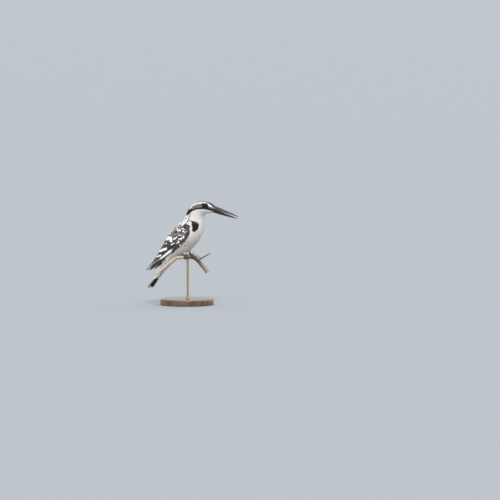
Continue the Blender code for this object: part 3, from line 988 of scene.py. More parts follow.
class Graph:
    """A hand for wiring a material's nodes."""

    def __init__(self, name: str) -> None:
        """Starts a material with its Principled shader.

        Args:
            name: the material's name.
        """
        self.material = bpy.data.materials.new(name)
        self.material.use_nodes = True
        self.tree = self.material.node_tree
        self.shader = self.tree.nodes["Principled BSDF"]

    def feed(self, node: Node, inputs: Inputs) -> Node:
        """Sets a node's inputs to numbers and colours, or links other nodes' outputs to them.

        Args:
            node: the node.
            inputs: what each of its inputs is given.

        Returns:
            The node.
        """
        for socket, value in inputs.items():
            if isinstance(value, Socket):
                self.tree.links.new(value, node.inputs[socket])
            else:
                node.inputs[socket].default_value = value
        return node

    def surface(self, inputs: Inputs) -> None:
        """Sets or links the shader's own inputs."""
        self.feed(self.shader, inputs)

    def add(self, kind: str, inputs: Inputs, **settings: object) -> Node:
        """Adds a shader node.

        Args:
            kind: its type, without the prefix that all have.
            inputs: what its sockets are given.
            **settings: its properties.

        Returns:
            The node.
        """
        node = self.tree.nodes.new(f"ShaderNode{kind}")
        for key, value in settings.items():
            setattr(node, key, value)
        return self.feed(node, inputs)

    def coat(self) -> Socket:
        """The colour that the mesh carries."""
        return self.add("Attribute", {}, attribute_name="coat").outputs["Color"]

    def place(self, stretch: Triple = (1.0, 1.0, 1.0)) -> Socket:
        """The place on the object, with a scale for each axis.

        Args:
            stretch: the scale of each axis.

        Returns:
            The place.
        """
        place = self.add("TexCoord", {}).outputs["Object"]
        if stretch == (1.0, 1.0, 1.0):
            return place
        return self.add("Mapping", {"Vector": place, "Scale": stretch}).outputs[0]

    def math(self, operation: str, a: Value, b: Value = 0.0) -> Socket:
        """One sum on two values."""
        return self.add("Math", {0: a, 1: b}, operation=operation).outputs[0]

    def noise(self, scale: float, detail: float = 2.0, vector: Socket | None = None) -> Socket:
        """A noise value in object space, or in a given one."""
        inputs = {"Scale": scale, "Detail": detail, "Vector": vector or self.place()}
        return self.add("TexNoise", inputs).outputs["Fac"]

    def spread(self, value: Socket, low: float, high: float) -> Socket:
        """A value from 0 to 1 moved to run from low to high."""
        return self.add("MapRange", {"Value": value, "To Min": low, "To Max": high}).outputs[0]

    def mix(self, share: Value, a: Value, b: Value, blend: str = "MIX") -> Socket:
        """A mix of two colours."""
        node = self.add("Mix", {}, data_type="RGBA", blend_type=blend)
        return self.feed(node, {0: share, 6: a, 7: b}).outputs[2]

    def tint(self, colour: Socket, shade: Value) -> Socket:
        """A colour multiplied by a shade."""
        return self.mix(1.0, colour, shade, "MULTIPLY")

    def bump(self, height: Socket, distance: float, strength: float = 0.5) -> None:
        """Raises the shader's surface by a height."""
        node = self.add("Bump", {"Height": height, "Distance": distance, "Strength": strength})
        self.surface({"Normal": node.outputs["Normal"]})


@dataclass(frozen=True)
class Finish:
    """A surface finish with a name of its own."""

    name: str

    def build(self) -> Material:
        """Makes the material.

        Returns:
            The material.
        """
        graph = Graph(self.name)
        self.wire(graph)
        return graph.material

    def wire(self, g: Graph) -> None:
        """Wires the finish's own nodes."""
        raise NotImplementedError


@dataclass(frozen=True)
class Plumage(Finish):
    """Feather keratin in the bird's own colours, with fine barbs."""

    roughness: float = 0.66
    sheen: float = 0.02
    softness: float = 0.0  # how much light goes through
    barbs: float = 3.0  # a millimetre
    slant: float = 1.3  # how far the barbs lean towards the tip
    shaft: float = 0.09  # its half width, in millimetres
    depth: float = 0.000035

    def wire(self, g: Graph) -> None:
        """Shades each blade by its barbs and shaft, and raises the barbs.

        Args:
            g: the material's graph.
        """
        coat = g.coat()
        barbs = g.add("UVMap", {}, uv_map="Barbs").outputs["UV"]
        split = g.add("SeparateXYZ", {0: barbs})
        across = g.math("ABSOLUTE", split.outputs[0])
        slant = g.math("SUBTRACT", split.outputs[1], g.math("MULTIPLY", across, self.slant))
        wave = g.math("SINE", g.math("MULTIPLY", slant, 2 * math.pi * self.barbs))
        wave = g.spread(g.math("MULTIPLY", g.math("ADD", wave, 1.0), 0.5), 0.0, 1.0)
        shaft = g.math("LESS_THAN", across, self.shaft)
        shade = g.spread(g.math("ADD", g.math("MULTIPLY", wave, 0.5), g.noise(900.0, 3.0)), 0.86, 1.12)
        shade = g.math("SUBTRACT", shade, g.math("MULTIPLY", shaft, 0.05))
        g.surface({
            "Base Color": g.tint(coat, shade),
            "Roughness": self.roughness,
            "Sheen Weight": self.sheen,
            "Sheen Roughness": 0.5,
            "Specular IOR Level": 0.14,
            "Subsurface Weight": self.softness,
            "Subsurface Scale": 0.0016,
            "Subsurface Radius": (1.0, 0.92, 0.86),
        })
        g.bump(g.math("ADD", wave, g.noise(1600.0)), self.depth)


@dataclass(frozen=True)
class Skin(Finish):
    """The skin under the coat, in the coat's colours."""

    def wire(self, g: Graph) -> None:
        """Mottles the coat's colours.

        Args:
            g: the material's graph.
        """
        shade = g.spread(g.noise(700.0, 4.0), 0.6, 0.95)
        g.surface({"Base Color": g.tint(g.coat(), shade), "Roughness": 0.85})
        g.bump(g.noise(1200.0, 3.0), 0.0002)


@dataclass(frozen=True)
class Horn(Finish):
    """The bill's and claws' black horn, paler where it is worn."""

    dark: Colour = (0.007, 0.007, 0.009, 1.0)
    worn: Colour = (0.034, 0.030, 0.030, 1.0)
    roughness: float = 0.40

    def wire(self, g: Graph) -> None:
        """Streaks the horn along its length.

        Args:
            g: the material's graph.
        """
        streak = g.noise(900.0, 5.0, g.place((1.0, 0.18, 0.6)))
        g.surface({
            "Base Color": g.mix(g.spread(streak, -0.5, 0.9), self.dark, self.worn),
            "Roughness": g.spread(streak, self.roughness - 0.1, self.roughness + 0.2),
        })
        g.bump(streak, 0.00012, 0.4)


@dataclass(frozen=True)
class WetEye(Finish):
    """The eyeball: its colours are on its vertices, under a clear gloss."""

    def wire(self, g: Graph) -> None:
        """Flecks the iris and wets the surface.

        Args:
            g: the material's graph.
        """
        fleck = g.spread(g.noise(4000.0, 4.0), 0.7, 1.3)
        wet = g.spread(g.noise(300.0), 0.04, 0.08)
        g.surface({"Base Color": g.tint(g.coat(), fleck), "Roughness": wet, "IOR": 1.38})


@dataclass(frozen=True)
class Hide(Finish):
    """Bare skin of the lids, legs and toes."""

    dark: Colour = (0.03, 0.026, 0.027, 1.0)
    light: Colour = (0.10, 0.085, 0.08, 1.0)
    grain: float = 1500.0  # cells a metre

    def wire(self, g: Graph) -> None:
        """Cracks the skin into small cells.

        Args:
            g: the material's graph.
        """
        inputs = {"Vector": g.place(), "Scale": self.grain}
        cells = g.add("TexVoronoi", inputs, feature="DISTANCE_TO_EDGE")
        g.surface({
            "Base Color": g.mix(g.noise(500.0, 4.0), self.dark, self.light),
            "Roughness": g.spread(g.noise(800.0), 0.5, 0.75),
        })
        g.bump(g.spread(cells.outputs["Distance"], 0.0, 1.6), 0.00015)


@dataclass(frozen=True)
class Bark(Finish):
    """Thorn-bush bark: pale and peeling at one end, dark red-brown at the other."""

    weathered: Colour = (0.5, 0.47, 0.45, 1.0)

    def wire(self, g: Graph) -> None:
        """Weathers the branch's colours in patches.

        Args:
            g: the material's graph.
        """
        coat, fine, patch = g.coat(), g.noise(1100.0, 6.0), g.noise(160.0, 4.0)
        lit = g.tint(coat, g.spread(fine, 0.55, 1.45))
        grey = g.mix(g.spread(patch, -0.7, 0.75), lit, g.tint(coat, self.weathered))
        g.surface({"Base Color": grey, "Roughness": g.spread(fine, 0.75, 0.95)})
        g.bump(g.math("ADD", fine, g.noise(420.0, 5.0)), 0.0003, 0.6)


@dataclass(frozen=True)
class Walnut(Finish):
    """Dark varnished wood with its grain."""

    dark: Colour = (0.035, 0.018, 0.01, 1.0)
    light: Colour = (0.16, 0.082, 0.042, 1.0)

    def wire(self, g: Graph) -> None:
        """Runs growth rings and pores along the board, under varnish.

        Args:
            g: the material's graph.
        """
        stretched = g.place((1.0, 0.07, 1.0))
        inputs = {
            "Vector": stretched, "Scale": 26.0, "Distortion": 16.0, "Detail": 6.0, "Detail Roughness": 0.65,
        }
        rings = g.add("TexWave", inputs, wave_type="BANDS", bands_direction="X")
        pores = g.noise(1400.0, 5.0, stretched)
        grain = g.math("MULTIPLY", g.math("ADD", rings.outputs["Fac"], pores), 0.5)
        g.surface({
            "Base Color": g.mix(grain, self.dark, self.light),
            "Roughness": g.spread(pores, 0.28, 0.42),
            "Coat Weight": 0.35,
            "Coat Roughness": 0.18,
        })
        g.bump(pores, 0.00008, 0.4)


@dataclass(frozen=True)
class Brass(Finish):
    """Turned brass, a little tarnished."""

    bright: Colour = (0.62, 0.47, 0.23, 1.0)
    tarnished: Colour = (0.44, 0.31, 0.14, 1.0)

    def wire(self, g: Graph) -> None:
        """Clouds the metal.

        Args:
            g: the material's graph.
        """
        cloud = g.noise(90.0, 4.0)
        colour = g.mix(cloud, self.bright, self.tarnished)
        g.surface({"Base Color": colour, "Metallic": 1.0, "Roughness": g.spread(cloud, 0.22, 0.40)})
        g.bump(g.noise(2400.0), 0.00004, 0.3)


@dataclass(frozen=True)
class Backdrop(Finish):
    """The pale floor."""

    colour: Colour = (0.32, 0.345, 0.37, 1.0)

    def wire(self, g: Graph) -> None:
        """One matt colour."""
        g.surface({"Base Color": self.colour, "Roughness": 0.9})


# --- skin


@dataclass
class Hull:
    """One skin over head, neck, trunk and wings, under the coat."""

    form: Form
    swatches: "Swatches"
    swell: float = 0.45  # closes the gaps between the solids before they are joined
    voxel: float = 0.9
    head_depth: float = 0.55
    body_depth: float = 1.05
    name: str = "skin"

    def build(self, nodes: dict[str, Piece], finish: Material) -> None:
        """Joins the flesh solids under one skin.

        Args:
            nodes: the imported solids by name.
            finish: the skin's material.
        """
        wings = [f"wing_{side}_{part}" for side in SIDES for part in ("coverts", "secondaries")]
        names = [*self.form.flesh, *wings]
        swollen = join_meshes(self.name, [self._swollen(nodes[name]) for name in names])
        piece = add_piece(self.name, swollen, finish)
        remesh = piece.modifiers.new("voxels", "REMESH")
        remesh.mode = "VOXEL"
        remesh.voxel_size = self.voxel * MM
        soft = piece.modifiers.new("soft", "SMOOTH")
        soft.factor = 0.5
        soft.iterations = 6
        apply_modifiers(piece)
        self._sink(piece.data)
        paint(piece.data, self.swatches.at([vertex.co for vertex in piece.data.vertices]))
        piece.data.shade_smooth()
        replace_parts(piece, *names)
        LOG.info("%s: %d faces", self.name, len(piece.data.polygons))

    def _swollen(self, solid: Piece) -> Mesh:
        """A solid's mesh, moved out until it meets its neighbours.

        Args:
            solid: its object.

        Returns:
            The mesh.
        """
        bm = bmesh.new()
        bm.from_mesh(solid.data)
        bmesh.ops.remove_doubles(bm, verts=bm.verts, dist=1e-6)
        bmesh.ops.recalc_face_normals(bm, faces=bm.faces)
        bm.normal_update()
        for vertex in bm.verts:
            vertex.co += vertex.normal * self.swell * MM
        return as_mesh(bm, "part")

    def _sink(self, mesh: Mesh) -> None:
        """Moves the skin in by the coat's depth.

        Args:
            mesh: the skin.
        """
        count = len(mesh.vertices)
        points, normals = np.zeros(count * 3), np.zeros(count * 3)
        mesh.vertices.foreach_get("co", points)
        mesh.vertices.foreach_get("normal", normals)
        points, normals = points.reshape(-1, 3), normals.reshape(-1, 3)
        up = points[:, 2] / MM
        depth = self.swell + self.body_depth + (self.head_depth - self.body_depth) * ease(172.0, 192.0, up)
        mesh.vertices.foreach_set("co", (points - normals * depth[:, None] * MM).ravel())
        mesh.update()


class Swatches:
    """The markings' colour at any place on or near the bird."""

    def __init__(self, form: Form, markings: Markings) -> None:
        """Samples both grids, the wing's on both sides.

        Args:
            form: the bird's outer form.
            markings: its pattern.
        """
        body, wing = form.body, form.wing
        station, turn = np.meshgrid(body.stations[::3], body.turns, indexing="ij")
        spots = [body.read(station, turn)[0]]
        tints = [markings.body(station, turn, body.scale(station, turn))]
        station, turn = np.meshgrid(wing.stations[8:130:2], np.linspace(0.0, 118.0, 79), indexing="ij")
        ground = np.full(station.shape, 0.12)
        spots += [wing.read(station, turn)[0] * (1.0, side, 1.0) for side in SIDES.values()]
        tints += [markings.wing(station, turn, wing.scale(station, turn), ground, 0.2)] * 2
        self.tree = near_tree(metres(np.vstack([spot.reshape(-1, 3) for spot in spots])))
        self.colours = np.vstack([tint.reshape(-1, 3) for tint in tints])

    def at(self, places: list[Vector] | Array) -> Array:
        """Colours of the nearest samples to places in metres."""
        return self.colours[[self.tree.find(place)[1] for place in places]]


def apply_modifiers(piece: Piece) -> None:
    """Replaces a piece's mesh by its evaluated one.

    Args:
        piece: an object with modifiers.
    """
    evaluated = piece.evaluated_get(bpy.context.evaluated_depsgraph_get())
    mesh = bpy.data.meshes.new_from_object(evaluated)
    piece.modifiers.clear()
    old = piece.data
    piece.data = mesh
    bpy.data.meshes.remove(old)
    mesh.name = piece.name


# --- body coat


@dataclass
class BodyCoat:
    """The small feathers of head, neck and trunk, backwards along the spine."""

    form: Form
    markings: Markings
    eye: "Eye"
    seed: int = 11
    # station, length, width, spacing, root depth, tip height
    sizes: Table = (
        (0.0, 12.0, 4.4, 1.8, 1.1, 0.2), (2.0, 11.5, 4.4, 1.8, 1.15, 0.2),
        (4.5, 10.0, 3.8, 1.6, 1.15, 0.18), (6.5, 8.5, 3.3, 1.3, 1.0, 0.15),
        (8.3, 6.0, 2.3, 1.08, 0.75, 0.12), (10.0, 3.9, 1.2, 0.77, 0.6, 0.09),
        (12.4, 2.5, 0.92, 0.59, 0.47, 0.05), (14.5, 1.7, 0.74, 0.49, 0.4, 0.02),
    )
    # name, lowest and highest station
    pieces: tuple[tuple[str, float, float], ...] = (
        ("coat_face", 12.0, 15.0), ("coat_head", 9.6, 12.0), ("coat_nape", 8.0, 9.6),
        ("coat_neck", 6.6, 8.0), ("coat_breast", 4.6, 6.6), ("coat_belly", 2.0, 4.6),
        ("coat_vent", -1.0, 2.0),
    )
    first: float = 14.75  # the station of the first ring
    last: float = -0.35  # and of the last
    gape: Triple = (14.1, 104.0, 6.0)  # bare from this station on, at this turn, and to how far beside it
    mantle: Triple = (0.02, 0.36, 44.0)  # bare between these shares of the wing, up to this turn
    rump: Pair = (3.4, 100.0)  # below this station, up to this turn, no wing is looked for
    roof: Triple = (1.5, 3.0, 22.0)  # from how deep, how far beside and how high the wing is looked for
    fine_from: float = 9.0  # pieces that start at this station or above have the fine pattern
    broad_below: float = 4.0  # pieces that start below this station have fewer barbs a feather
    coarse: Vane = Vane(
        rows=6, columns=8, notch=0.13, groove=0.02, thickness=0.1, crown=0.07, tip_width=0.3, rise=0.42,
    )
    fine: Vane = Vane(
        rows=5, columns=4, notch=0.15, roundness=0.25, groove=0.012, thickness=0.07, crown=0.08,
        tip_width=0.34, rise=0.42,
    )
    kinds: int = 3
    pull: float = 0.5  # how far a feather's colour gathers at its middle
    chart: Chart = Chart((-0.3, 14.4), (-180.0, 180.0))

    def __post_init__(self) -> None:
        """Seeds the draws."""
        self.rng = np.random.default_rng(self.seed)

    def build(self, finish: Material) -> None:
        """Grows and joins the coat's pieces.

        Args:
            finish: their material.
        """
        growth = self._grow()
        for name, low, high in self.pieces:
            some = growth.only((growth.station >= low) & (growth.station < high))
            kind = self.rng.integers(0, self.kinds, len(some))
            pattern = self.fine if low >= self.fine_from else self.coarse
            pattern = replace(pattern, columns=6) if low < self.broad_below else pattern
            batches = []
            for number in range(self.kinds):
                vane = replace(pattern, fray=number + 1)
                batches.append(self._batch(vane, some.only(kind == number)))
            assemble(name, batches, finish)

    def _batch(self, vane: Vane, growth: Growth) -> Batch:
        """Lays and colours the feathers of one pattern.

        Args:
            vane: the pattern.
            growth: where they grow.

        Returns:
            The batch.
        """
        rng, body, markings = self.rng, self.form.body, self.markings
        laid = self._clear_eyes(lay(body, vane, growth, -1.0))
        growth = laid.growth
        count = len(growth)
        scale = body.scale(growth.station, growth.turn)[:, None]
        middle = growth.station[:, None] - 0.8 * growth.length[:, None] / scale[..., 0]
        station = laid.station + (middle - laid.station) * self.pull
        turn = laid.turn + (growth.turn[:, None] - laid.turn) * self.pull
        colours = markings.body(station, turn, scale)
        light = rng.uniform(0, 1, count) < markings.streaked(growth.station, growth.turn)
        colours = np.where(light[:, None, None], WHITE, colours)
        pied = rng.uniform(0, 1, count) < markings.pied(growth.station, growth.turn)
        centre = (1 - ease(0.45, 0.75, np.abs(laid.across))) * (1 - ease(0.72, 0.84, laid.along))
        colours = blend(colours, BLACK * 1.3, pied[:, None] * centre)
        own = rng.uniform(0.72, 1.34, count)[:, None, None]
        colours = colours * (own + (1 - own) * ease(0.25, 0.55, colours[..., :1]))
        # each feather is painted darker towards its root, a painted shadow where the next feathers overlap
        # it, times a random tone of its own
        shade = rng.uniform(0.94, 1.03, count)[:, None] * (0.88 + 0.12 * ease(0.3, 0.9, laid.along))
        return laid.batch(colours * shade[..., None], self.chart)

    def _grow(self) -> Growth:
        """Roots over the whole body, thinned to the sizes' spacing.

        Returns:
            The feathers, without any under a wing or in the gape.
        """
        rng, body, table = self.rng, self.form.body, np.array(self.sizes)
        stations, turns = [], []
        at = self.first
        while at > self.last:
            spacing = np.interp(at, table[:, 0], table[:, 3]) * 0.5
            by_station, by_turn = body.scale(np.array([at, at]), np.array([10.0, 90.0])).T
            count = int(360.0 * by_turn[1] / spacing)
            turns.append((np.arange(count) + rng.uniform(0, 1)) * 360.0 / count - 180.0)
            stations.append(np.full(count, at))
            at -= spacing / by_station.max()
        station, turn = np.concatenate(stations), np.concatenate(turns)
        station = station + rng.normal(0, 0.02, len(station))
        spacing = np.interp(station, table[:, 0], table[:, 3])
        kept = scatter(body.read(station, turn)[0], spacing, rng)
        station, turn = station[kept], turn[kept]
        gape = (station > self.gape[0]) & (np.abs(np.abs(turn) - self.gape[1]) < self.gape[2])
        kept = ~(self._under_wing(station, turn) | gape)
        station, turn = station[kept], turn[kept]
        length, width, _, root, tip = (np.interp(station, table[:, 0], table[:, k]) for k in range(1, 6))
        count = len(station)
        crest = ease(9.0, 8.6, station) * ease(7.4, 7.9, station) * (1 - ease(30.0, 50.0, np.abs(turn)))
        length = length * rng.uniform(0.85, 1.15, count) * (1 + 0.9 * crest)
        tip = tip + rng.uniform(-0.05, 0.07, count) + 0.7 * crest * rng.uniform(0, 1, count)
        width = width * rng.uniform(0.85, 1.15, count)
        yaw, tilt = rng.normal(0, 5.0, count), rng.normal(0, 0.05, count)
        return Growth(station, turn, length, width, yaw, -root, tip, tilt)

    def _under_wing(self, station: Array, turn: Array) -> Array:
        """Whether a root lies well under a folded wing or the mantle, where no feather would be seen.

        Args:
            station: positions along the spine.
            turn: degrees from the back's ridge.

        Returns:
            True where covered.
        """
        points, normals = self.form.body.read(station, turn)
        way = np.subtract(self.form.wing_tip, self.form.wrist) / self.form.wing_length
        flat = points[:, [0, 2]] - np.array(self.form.wrist)
        share = flat @ way / self.form.wing_length
        around = np.degrees(np.arctan2(np.abs(points[:, 1]), flat @ np.array((way[1], -way[0]))))
        back = (share > self.mantle[0]) & (share < self.mantle[1]) & (around < self.mantle[2])
        rump = (station < self.rump[0]) & (np.abs(turn) < self.rump[1])
        covered = back.copy()
        for number in np.flatnonzero((share > 0.0) & (share < 0.95) & ~back & ~rump):
            mirror = np.array((1.0, -1.0 if points[number, 1] < 0 else 1.0, 1.0))
            covered[number] = self._roofed(points[number] * mirror, normals[number] * mirror)
        return covered

    def _roofed(self, point: Array, normal: Array) -> bool:
        """Whether the wing lies over a point and over its neighbours on all sides.

        Args:
            point: on the body's right half.
            normal: the way out of the body there.

        Returns:
            True if it does.
        """
        deep, beside, high = self.roof
        along = unit(np.cross(normal, (0.0, 1.0, 0.0)))
        over = np.cross(normal, along)
        way = Vector(metres(normal)).normalized()
        for shift in (along, -along, over, -over):
            spot = Vector(metres(point - normal * deep + shift * beside))
            if self.form.wing_solids.ray_cast(spot, way, high * MM)[0] is None:
                return False
        return True

    def _clear_eyes(self, laid: Laid) -> Laid:
        """Leaves out the feathers that would grow on or across an eye.

        Args:
            laid: the feathers.

        Returns:
            Those that stay.
        """
        near = np.full(laid.points.shape[:2], 1e3)
        for side in SIDES.values():
            gaze = self.eye.gaze(side)
            offset = laid.points - gaze.centre
            height = offset @ gaze.axis
            away = np.linalg.norm(offset - height[..., None] * gaze.axis, axis=-1)
            near = np.minimum(near, np.where(height > 0, away, 1e3))
        return laid.only(near.min(1) > self.eye.bare_radius)


# --- wings


LONG_VANE = Vane(
    rows=44, columns=8, root_width=0.7, widest=0.45, tip_width=0.42, roundness=0.05,
    notch=0.0, crown=0.05, groove=0.0, thickness=0.26,
)
COVERT_VANE = Vane(
    rows=22, columns=8, root_width=0.5, widest=0.55, tip_width=0.6, roundness=0.2,
    notch=0.0, crown=0.06, groove=0.0, thickness=0.13, rise=0.6,
)


@dataclass(frozen=True)
class Row:
    """An ordered row of wing feathers. A table gives a value at places from 0, the back, to 1."""

    vane: Vane
    patch: float  # of each feather on the unwrapped wing
    count: int
    roots: Table
    root_turns: Table
    tips: Table
    tip_turns: Table
    width: Pair
    height: Pair  # of the tips, at the row's two ends
    ground: float  # tone of the feathers
    edge_tone: float
    edge: float  # width of the pale edge, in millimetres


@dataclass
class Wing:
    """One folded wing with the scapulars that lie over it."""

    form: Form
    markings: Markings
    side: str
    seed: int
    pull: float = 0.25  # how far a feather's colour gathers at its middle
    stray: Pair = (0.009, 1.2)  # how far its markings lie off, in stations and in degrees
    row_depth: float = 1.4  # of a row feather's root under its tip
    row_tilt: float = 0.28
    small_root: float = -1.1  # height of the small feathers' roots
    extent: Pair = (134.0, 0.45)  # about the millimetres of a whole station and of a degree
    tries: float = 3.5  # places drawn for each root that finds room
    chart: Chart = Chart((-0.1, 1.02), (-20.0, 132.0), patch=0.008)
    small_vane: Vane = Vane(
        rows=9, columns=8, root_width=0.4, widest=0.55, tip_width=0.55, roundness=0.26,
        notch=0.03, crown=0.06, groove=0.0, thickness=0.09, rise=0.45,
    )
    primaries: Row = Row(
        LONG_VANE, 0.02, 10, ((0.0, 0.44), (1.0, 0.42)), ((0.0, 80.0), (1.0, 116.0)),
        ((0.0, 0.8), (0.25, 0.91), (0.45, 0.975), (0.6, 1.0), (0.68, 0.99), (0.78, 0.945), (0.9, 0.935),
         (1.0, 0.87)),
        ((0.0, 60.0), (0.3, 68.0), (0.6, 80.0), (0.68, 87.0), (0.78, 105.0), (0.9, 110.0), (1.0, 114.0)),
        (7.5, 5.5), (0.1, -0.3), 0.02, 0.16, 0.25,
    )
    secondaries: Row = Row(
        LONG_VANE, 0.02, 11, ((0.0, 0.30), (1.0, 0.24)), ((0.0, 50.0), (1.0, 116.0)),
        ((0.0, 0.60), (0.2, 0.67), (0.4, 0.72), (0.7, 0.70), (1.0, 0.66)),
        ((0.0, 56.0), (1.0, 110.0)), (10.5, 7.0), (0.45, 0.1), 0.02, 0.25, 0.25,
    )
    greater_coverts: Row = Row(
        COVERT_VANE, 0.012, 13, ((0.0, 0.27), (0.6, 0.22), (1.0, 0.1)), ((0.0, 42.0), (1.0, 116.0)),
        ((0.0, 0.48), (0.25, 0.475), (0.42, 0.45), (0.66, 0.395), (0.82, 0.34), (1.0, 0.27)),
        ((0.0, 45.0), (1.0, 117.0)), (8.5, 5.5), (0.6, 0.25), 0.03, 0.4, 0.3,
    )
    median_coverts: Row = Row(
        COVERT_VANE, 0.012, 13, ((0.0, 0.23), (0.6, 0.2), (1.0, 0.06)), ((0.0, 40.0), (1.0, 114.0)),
        ((0.0, 0.38), (0.4, 0.37), (0.7, 0.31), (1.0, 0.2)),
        ((0.0, 42.0), (1.0, 115.0)), (7.5, 5.0), (0.7, 0.3), 0.04, 0.9, 0.5,
    )

    def __post_init__(self) -> None:
        """Seeds the draws."""
        self.rng = np.random.default_rng(self.seed)

    def build(self, dark: Material, pied: Material) -> None:
        """Grows the wing's rows, its lesser coverts and its scapulars.

        Args:
            dark: the primaries' material.
            pied: the other feathers' material.
        """
        wing = f"wing_{self.side}"
        rows = (self.primaries, self.secondaries, self.greater_coverts, self.median_coverts)
        first, second, *coverts = (self._row(row) for row in rows)
        coverts += [self._lesser(), self._flank()]
        mantle = self._scapulars()
        primaries = assemble(f"{wing}_primary_feathers", [first], dark)
        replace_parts(primaries, f"{wing}_primaries")
        assemble(f"{wing}_secondary_feathers", [second], pied)
        assemble(f"{wing}_covert_feathers", coverts, pied)
        assemble(f"mantle_{self.side}_feathers", [mantle], pied)

    def _finish(
        self, growth: Growth, vane: Vane, chart: Chart, ground: Array, edge_tone: Array | float,
        edge: Array, side_share: float = 1.0,
    ) -> Batch:
        """Lays, colours and unwraps one growth.

        Args:
            growth: the feathers.
            vane: their pattern.
            chart: how the wing unwraps.
            ground: tone of each feather's middle.
            edge_tone: tone of its edge.
            edge: width of that edge in millimetres.
            side_share: how wide the pale edge is along the sides, beside that at the tip.

        Returns:
            The batch.
        """
        rng, count = self.rng, len(growth)
        laid = lay(self.form.wing, vane, growth, 1.0, SIDES[self.side])
        scale = self.form.wing.scale(growth.station, growth.turn)[:, None]
        half = vane.profile(np.clip(laid.along, 0, 1)) * growth.width[:, None] / 2
        to_tip = growth.length[:, None] * (1 - laid.along - 0.15 * (laid.across**2))
        inward = np.minimum((half - np.abs(laid.grain[..., 0])) / side_share, to_tip)
        rim = 1 - ease(0.0, 1.0, inward / np.maximum(edge[:, None], 1e-3) - 0.4)
        tone = ground[:, None] + (edge_tone - ground)[:, None] * rim
        tip_station = growth.station + 0.7 * growth.length / scale[:, 0, 0]
        station = laid.station + (tip_station[:, None] - laid.station) * self.pull
        turn = laid.turn + (growth.turn[:, None] - laid.turn) * self.pull
        station = station + rng.normal(0, self.stray[0], count)[:, None]
        turn = turn + rng.normal(0, self.stray[1], count)[:, None]
        warmth = rng.uniform(0.04, 0.4, count)[:, None, None]
        return laid.batch(self.markings.wing(station, turn, scale, tone, warmth), chart)

    def _row(self, row: Row) -> Batch:
        """One ordered row: each feather runs from its root to its tip.

        Args:
            row: its measures.

        Returns:
            The batch.
        """
        rng, count, place = self.rng, row.count, np.linspace(0.0, 1.0, row.count)
        tables = (row.roots, row.root_turns, row.tips, row.tip_turns)
        station, turn, tip_station, tip_turn = (np.interp(place, *np.array(t).T) for t in tables)
        tip_station = tip_station + rng.normal(0, 0.004, count)
        middle = ((station + tip_station) / 2, (turn + tip_turn) / 2)
        by_station, by_turn = self.form.wing.scale(*middle).T
        forth, over = (tip_station - station) * by_station, (tip_turn - turn) * by_turn
        height = np.interp(place, (0, 1), row.height)
        yaw = np.degrees(np.arctan2(over, forth)) + rng.normal(0, 0.7, count)
        width, tilt = np.interp(place, (0, 1), row.width), np.full(count, self.row_tilt)
        length, root = np.hypot(forth, over), height - self.row_depth
        growth = Growth(station, turn, length, width, yaw, root, height, tilt)
        tone = row.ground + rng.uniform(-0.02, 0.02, count)
        edges = row.edge * rng.uniform(0.8, 1.2, count)
        chart = replace(self.chart, patch=row.patch)
        return self._finish(growth, row.vane, chart, tone, row.edge_tone, edges)

    def _patchwork(self, stations: Pair, turns: Pair, spacing: float) -> tuple[Array, Array]:
        """Roots over part of the wing's chart, thinned to a spacing.

        Args:
            stations: the lowest and the highest.
            turns: the lowest and the highest.
            spacing: millimetres between roots.

        Returns:
            Stations and turns of the roots.
        """
        by_station, by_turn = self.extent
        area = (stations[1] - stations[0]) * by_station * (turns[1] - turns[0]) * by_turn
        count = int(self.tries * area / spacing**2)
        station, turn = self.rng.uniform(*stations, count), self.rng.uniform(*turns, count)
        kept = scatter(self.form.wing.read(station, turn)[0], np.full(count, spacing), self.rng)
        return station[kept], turn[kept]

    def _lesser(self) -> Batch:
        """The small coverts of the wrist: black with pale crescents.

        Returns:
            The batch.
        """
        rng = self.rng
        station, turn = self._patchwork((-0.04, 0.44), (44.0, 121.0), 2.1)
        low = np.interp(station, (-0.04, 0.0, 0.03, 0.08, 0.24, 0.26), (84, 66, 56, 44, 44, 110))
        high = np.interp(station, (-0.04, 0.0, 0.04, 0.1, 0.2), (90, 95, 108, 118, 121))
        inside = (turn > low) & (turn < high)
        growth = Growth.drawn(
            rng, station[inside], turn[inside], self.small_root, length=(5.5, 7.5), width=(3.0, 3.8),
            yaw=(2.0, 7.0), tip=(-0.06, 0.08), tilt=(0.04, 0.04),
        )
        growth.tip += np.interp(growth.turn, (44, 100, 121), (0.65, 0.45, 0.25))
        count = len(growth)
        ground = rng.uniform(0.0, 0.04, count)
        pale = rng.uniform(0, 1, count) < np.interp(growth.turn, (44, 104, 112), (0.5, 0.42, 0.04))
        tones = (ground, np.where(pale, 0.92, 0.05), rng.uniform(0.8, 1.8, count))
        return self._finish(growth, self.small_vane, self.chart, *tones, 0.2)

    def _flank(self) -> Batch:
        """White feathers that close the fold between the wing's lower edge and the flank.

        Returns:
            The batch.
        """
        growth = Growth.drawn(
            self.rng, *self._patchwork((-0.06, 0.6), (119.0, 131.0), 2.2), -1.3, length=(8.0, 11.0),
            width=(3.6, 4.6), yaw=(-3.0, 5.0), tip=(-0.35, -0.1), tilt=(0.0, 0.04),
        )
        white = np.full(len(growth), 0.9)
        return self._finish(growth, self.small_vane, self.chart, white, white, np.full(len(growth), 0.5))

